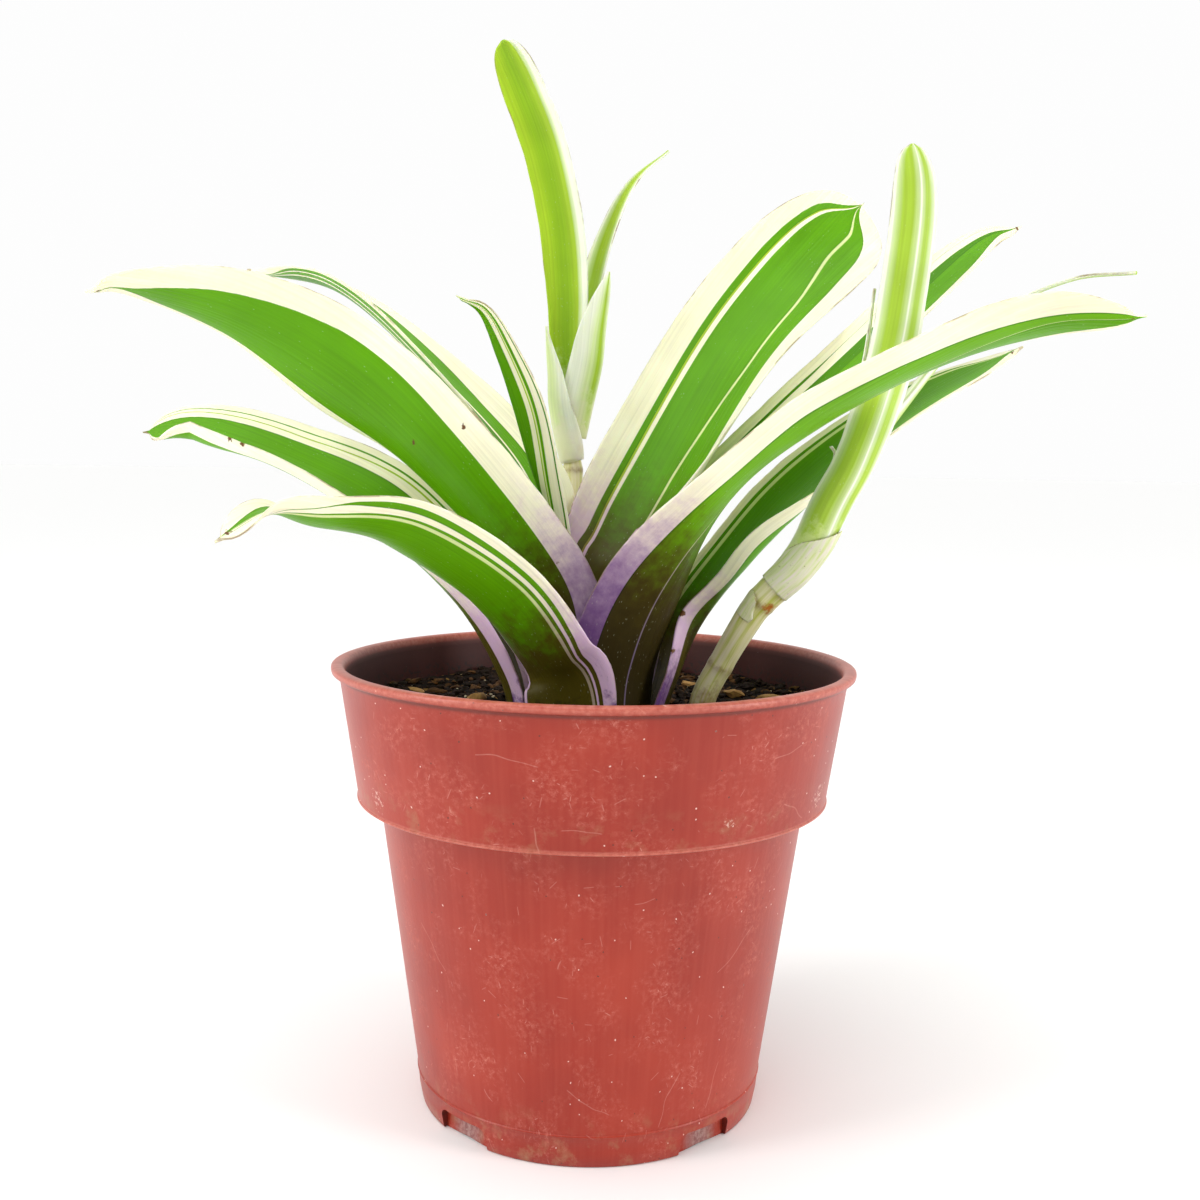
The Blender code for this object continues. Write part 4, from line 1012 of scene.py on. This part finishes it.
def fleshy_runner():
    """Runner skin: pale green streaks over cream, satin, flecked brown, and rust-brown at the joints."""
    mat, surface, add = finish("fleshy_runner_skin", 0.42, 1.42, Subsurface_Weight=0.25,
                               Subsurface_Radius=(1.0, 0.9, 0.4), Subsurface_Scale=0.0015)
    place = add("TexCoord", out="Object")
    along, joint, aside, front = [add("Attribute", attribute_name=key, out="Fac") for key in RUNNER_READINGS]
    lengthwise = add("CombineXYZ", aside, front, along)
    lengthwise = add("Mapping", lengthwise, Scale=(1.1, 1.1, 0.05))
    streak = add("TexNoise", lengthwise, Scale=1, Detail=3)
    skin = add("ValToRGB", streak, stops=[(0.32, "F3ECD2"), (0.5, "E4E0A6"), (0.68, "BEC654")])
    patch = add("TexNoise", place, Scale=240, Detail=5, Roughness=0.7)
    rust = add("MapRange", patch, 0.35, 0.7)
    rust = add("Math", rust, joint, operation="MULTIPLY")
    fleck = add("TexVoronoi", place, Scale=480)
    fleck = add("MapRange", fleck, 0.1, 0.2, 1, 0)
    sparse = add("MapRange", patch, 0.55, 0.62)
    fleck = add("Math", fleck, sparse, operation="MULTIPLY")
    # Soil water has stained the foot brown
    stain = add("SeparateXYZ", place, out="Z")
    stain = add("MapRange", stain, (MIX_LEVEL + 0.5) * MM, (MIX_LEVEL + 9.5) * MM, 0.2, -0.25)
    stain = add("Math", stain, patch)
    stain = add("MapRange", stain, 0.42, 0.7, 0, 0.75)
    # A wound the size of a rice grain above the right runner's first joint has healed orange-brown
    wound = add("VectorMath", place, (0.0338, -0.0072, 0.1012), operation="DISTANCE")
    wound = add("MapRange", wound, 0.0004, 0.0034, 0.22, -0.3)
    wound = add("Math", wound, patch)
    wound = add("MapRange", wound, 0.5, 0.65)
    # Each of these lies over the ones before it
    for amount, tone in ((rust, "7A4E24"), (fleck, "6E4A26"), (stain, "8A5C30"), (wound, "B06A24")):
        skin = add("Mix", amount, skin, tone, data_type="RGBA")
    bump = add("Bump", Height=streak, Distance=0.0003, Strength=0.5)
    feed(surface, Base_Color=skin, Normal=bump)
    return mat


def dried_membrane():
    """A dried scale: a thin whitish membrane, veined lengthwise, flecked brown and browned along its edge."""
    mat, surface, add = finish("dried_scale_membrane", 0.5, 1.4, Specular_IOR_Level=0.35,
                               Subsurface_Weight=0.3, Subsurface_Scale=0.001,
                               Subsurface_Radius=(1.0, 0.9, 0.6))
    along, across, rim = [add("Attribute", attribute_name=key, out="Fac") for key in BLADE_READINGS[1:4]]
    skin = add("CombineXYZ", across, along)
    long = add("Mapping", skin, Scale=(1.4, 0.12, 1))
    vein = add("TexNoise", long, Scale=1, Detail=4)
    colour = add("ValToRGB", vein, stops=[(0.34, "C9D584"), (0.5, "DEE0B4"), (0.68, "E8DDD2")])
    fleck = add("TexNoise", skin, Scale=1.1, Detail=5, Roughness=0.7)
    brown = add("MapRange", fleck, 0.62, 0.7, 0, 0.8)
    edge = add("MapRange", rim, 0.05, 0.4, 1, 0)
    torn = add("MapRange", fleck, 0.4, 0.55)
    edge = add("Math", edge, torn, operation="MULTIPLY")
    brown = add("Math", brown, edge, operation="MAXIMUM")
    colour = add("Mix", brown, colour, "80603A", data_type="RGBA")
    bump = add("Bump", Height=vein, Distance=0.0003, Strength=0.5)
    feed(surface, Base_Color=colour, Normal=bump)
    return mat


def hugging(stations, facing, inset):
    """A route's rows for a keel as far from its stations' middle as their radius, less an inset, says."""
    turn = math.radians(facing)
    away = Vector((math.sin(turn), -math.cos(turn), 0))
    middles = [Vector(row[:3]) for row in stations]
    route = []
    for k, (middle, row) in enumerate(zip(middles, stations)):
        along = (middles[min(k + 1, len(middles) - 1)] - middles[max(k - 1, 0)]).normalized()
        radius = row[3] - inset
        keel = middle + (away - along * away.dot(along)).normalized() * radius
        route.append((*keel, facing, 0, radius, 0))
    return route


# Scales that still wrap the right runner: x, y, z of the middle and the radius that they hug, the azimuth
# that the keel faces, width, bluntness, taper and how ragged the edge is
SCALE_THICKNESS = 0.22
SCALES = {
    "upper_scale": (
        [(35.4, -6.2, 105.1, 3.35), (39.0, -7.0, 108.9, 3.62), (42.3, -7.3, 113.9, 4.0),
         (44.3, -7.4, 118.4, 4.25)], 66, 22, 2.4, 0.9, 0.5),
    "torn_scale": (
        [(30.6, -4.6, 99.0, 3.05), (32.0, -5.1, 101.2, 3.15), (33.6, -5.7, 103.2, 3.3)], -70, 9, 2.5, 0.6,
        1.8),
}

runner_skin = fleshy_runner()
membrane = dried_membrane()
for name, (route, joints) in RUNNERS.items():
    piece(name + "_stem", runner_mesh(name + "_stem", route, joints), runner_skin, "runner_stem", name)

for name, (stations, facing, width, blunt, taper, ragged) in SCALES.items():
    blade = Blade(hugging(stations, facing, 0), width, 1.0, 0.5, blunt, taper)
    mesh = blade_mesh(name, blade, [(PALE, 1)], SCALE_THICKNESS, step=0.4, edge_noise=ragged,
                      seed=71.3 + facing, hooked=False)
    piece(name, mesh, membrane, "pup_bract")


# Pups
# On each runner a young plant opens: thin papery bracts clasp its foot, and above them stand soft
# yellow-green leaves with translucent white margins.
PUP_LEAF_THICKNESS = 0.6
PUP_NEST_PITCH = 1.05
# Each nest: x, y, z of its middle and the radius of its outermost layer
NEST_BACK = [(-5.5, 26.2, 129, 2.8), (-5.6, 26.6, 134.5, 4.1), (-5.5, 27.0, 142, 5.6)]
NEST_RIGHT = [(39.0, -7.0, 108.9, 3.4), (42.3, -7.3, 113.9, 3.8), (45.6, -7.5, 121.8, 4.3),
              (49.3, -7.4, 129.6, 4.8)]
YOUNG = ("A3C222", "9ABC28", "C3D67E", "D6DCA4")
YOUNG_DEEP = ("8CB414", "86B01C", "B4CC6C", "CBD694")
YOUNG_PALE = ("A8C63C", "A0C034", "C8D884", "D8DEA8")
FILM = ("EEF1DE", "E4EACC", "EEEDDA", "EBE7D8")
FILM_GREEN = ("D8E6A6", "D2E2A6", "DFE2B8", "DDDDB8")

# Each leaf or bract: its nest, its layer in it, the nest's stations beside it, the azimuth that its keel
# faces; its stations above the nest; its bend radius, width, foot ratio, sheath, bluntness and taper; its
# stripes from v -1 to 1, each with the border above it
PUPS = {
    "back_bract_left": (
        NEST_BACK, 0, 0, 3, -60, [(-10.4, 24.2, 149.5), (-11.4, 23.0, 158.5)], 6, 12.6, 1.0, 0.5, 2, 1,
        [(FILM, -0.6), (FILM_GREEN, 0.5), (FILM, 1)]),
    "back_bract_right": (
        NEST_BACK, 1, 1, 3, 58, [(-0.2, 24.6, 150.5), (0.4, 24.6, 158), (1.2, 24.8, 165), (1.8, 25, 170.5)],
        5, 16.6, 0.76, 0.5, 2.2, 0.75,
        [(FILM, -0.45), (FILM_GREEN, -0.2), (YOUNG, 0.1), (FILM_GREEN, 0.4), (FILM, 1)]),
    "back_leaf_side": (
        NEST_BACK, 2, 2, 3, 134,
        [(-3.3, 30.1, 152), (-1.4, 33.2, 168), (2.1, 33.6, 181), (7.2, 34.0, 191.5), (14.7, 34.4, 198.2)], 6,
        9.0, 0.66, 0.4, 2.2, 0.8, [(FILM, -0.75), (YOUNG, 0.7), (FILM, 1)]),
    "back_leaf_tall": (
        NEST_BACK, 3, 2, 3, 172,
        [(-6.6, 29.0, 153), (-7.0, 29.6, 166), (-8.5, 30.6, 181), (-12.1, 30.6, 197), (-17.2, 29.8, 210),
         (-21.7, 28.4, 219.5)], 9, 10.5, 0.6, 0.45, 16, 0.5,
        [(FILM, -0.6), (YOUNG, -0.25), (YOUNG_DEEP, 0.5), (YOUNG, 1)]),
    "right_bract": (
        NEST_RIGHT, 1, 1, 4, -120, [(45.8, -5.4, 133.2)], 3, 7, 1, 0.5, 2.4, 0.8,
        [(FILM, -0.6), (FILM_GREEN, 0.3), (FILM, 1)]),
    "right_leaf_tall": (
        NEST_RIGHT, 0, 0, 4, 5,
        [(53.7, -10.6, 140.5), (57.0, -8.6, 152), (59.0, -7.2, 164), (60.3, -6.6, 176), (60.4, -6.0, 184),
         (59.5, -5.2, 191)], 9, 10.0, 1.45, 0.32, 18, 0.5,
        [(FILM, -0.76), (YOUNG_PALE, 0.14), (FILM, 0.26), (YOUNG_PALE, 0.72), (FILM, 1)]),
    "right_leaf_side": (
        NEST_RIGHT, 2, 2, 4, 88,
        [(60.6, -3.2, 141), (67.6, -8.6, 151.4), (75.8, -17.8, 159.0), (84.0, -27.4, 162.8),
         (91.6, -36.0, 162.8)], 5.5, 7.4, 0.68, 0.35, 2.5, 0.8, [(FILM, -0.6), (YOUNG, 0.6), (FILM, 1)]),
    "right_bract_tip": (
        NEST_RIGHT, 2, 2, 4, -116, [(50.1, -3.0, 140), (52.4, -2.6, 151), (53.8, -2.8, 164)], 4, 4.4, 1.0,
        0.5, 2.5, 0.8, [(FILM, -0.4), (YOUNG, 0.4), (FILM, 1)]),
}


def pup_route(nest, layer, first, last, facing, stations, blade_bend):
    """A pup leaf's rows: in the nest its keel keeps its layer's radius, and above it runs free."""
    route = hugging(nest, facing, 0.5 * PUP_LEAF_THICKNESS + layer * PUP_NEST_PITCH)[first:last]
    bends = np.interp(range(1, len(stations) + 1), (0, 2), (route[-1][5], blade_bend))
    return route + [(*point, facing, 0, bend, 0) for point, bend in zip(stations, bends)]


for number, (name, (nest, layer, first, last, facing, stations, bend, width, foot, sheath, blunt, taper,
                    stripes)) in enumerate(PUPS.items()):
    route = pup_route(nest, layer, first, last, facing, stations, bend)
    blade = Blade(route, width, foot, sheath, blunt, taper)
    mesh = blade_mesh(name + "_blade", blade, stripes, PUP_LEAF_THICKNESS, step=0.9, edge_noise=0.1,
                      seed=40 + number * 2.9, hooked=False)
    skin = leathery_blade(name + "_skin", stripes, flush_mm=12, deep_mm=3, sheen=0.4, roughness=0.42,
                          soft=True)
    piece(name + "_blade", mesh, skin, "pup_bract" if "bract" in name else "pup_leaf", name)


# Table and light
# A white table top in a white room: a broad soft sun from above and in front, two tall soft lamps on
# either side, and walls that are brighter behind the plant than in front of it.
floor_mesh = bpy.data.meshes.new("table_top")
table = bmesh.new()
bmesh.ops.create_circle(table, cap_ends=True, radius=30, segments=96)
table.to_mesh(floor_mesh)
table.free()
floor = bpy.data.objects.new("table_top", floor_mesh)
bpy.context.scene.collection.objects.link(floor)
floor_mat, _, _ = finish("matt_white_board", 0.9, 1.4, Specular_IOR_Level=0.1, Base_Color="FAFAF9")
floor_mesh.materials.append(floor_mat)
floor.location.z = -0.0001

room = bpy.data.worlds.new("white_room")
bpy.context.scene.world = room
room.use_nodes = True
add = functools.partial(wire, room.node_tree)
way = add("TexCoord", out="Generated")
depth = add("SeparateXYZ", way, out="Y")
glow = add("MapRange", depth, -0.5, 0.5, 0.35, 0.95)
seen = add("LightPath", out="Is Camera Ray")
glow = add("Mix", seen, glow, 0.985, data_type="FLOAT")
feed(room.node_tree.nodes["Background"], Strength=glow, Color="FFFFFF")


def lamp(name, kind, place, power, **settings):
    """A lamp turned towards the plant."""
    made = bpy.data.lights.new(name, kind)
    made.energy = power
    for key, value in settings.items():
        setattr(made, key, value)
    holder = bpy.data.objects.new(name, made)
    bpy.context.scene.collection.objects.link(holder)
    holder.location = place
    aim = Vector((0, 0, 0.1)) - Vector(place)
    holder.rotation_mode = "QUATERNION"
    holder.rotation_quaternion = aim.to_track_quat("-Z", "Y")


lamp("soft_sun", "SUN", (-0.3, -0.42, 1.2), 1.32, angle=math.radians(60))
lamp("right_softbox", "AREA", (0.95, -0.4, 0.35), 6.6, shape="RECTANGLE", size=0.3, size_y=0.9)
lamp("left_softbox", "AREA", (-0.95, -0.4, 0.4), 6.0, shape="RECTANGLE", size=0.3, size_y=0.9)
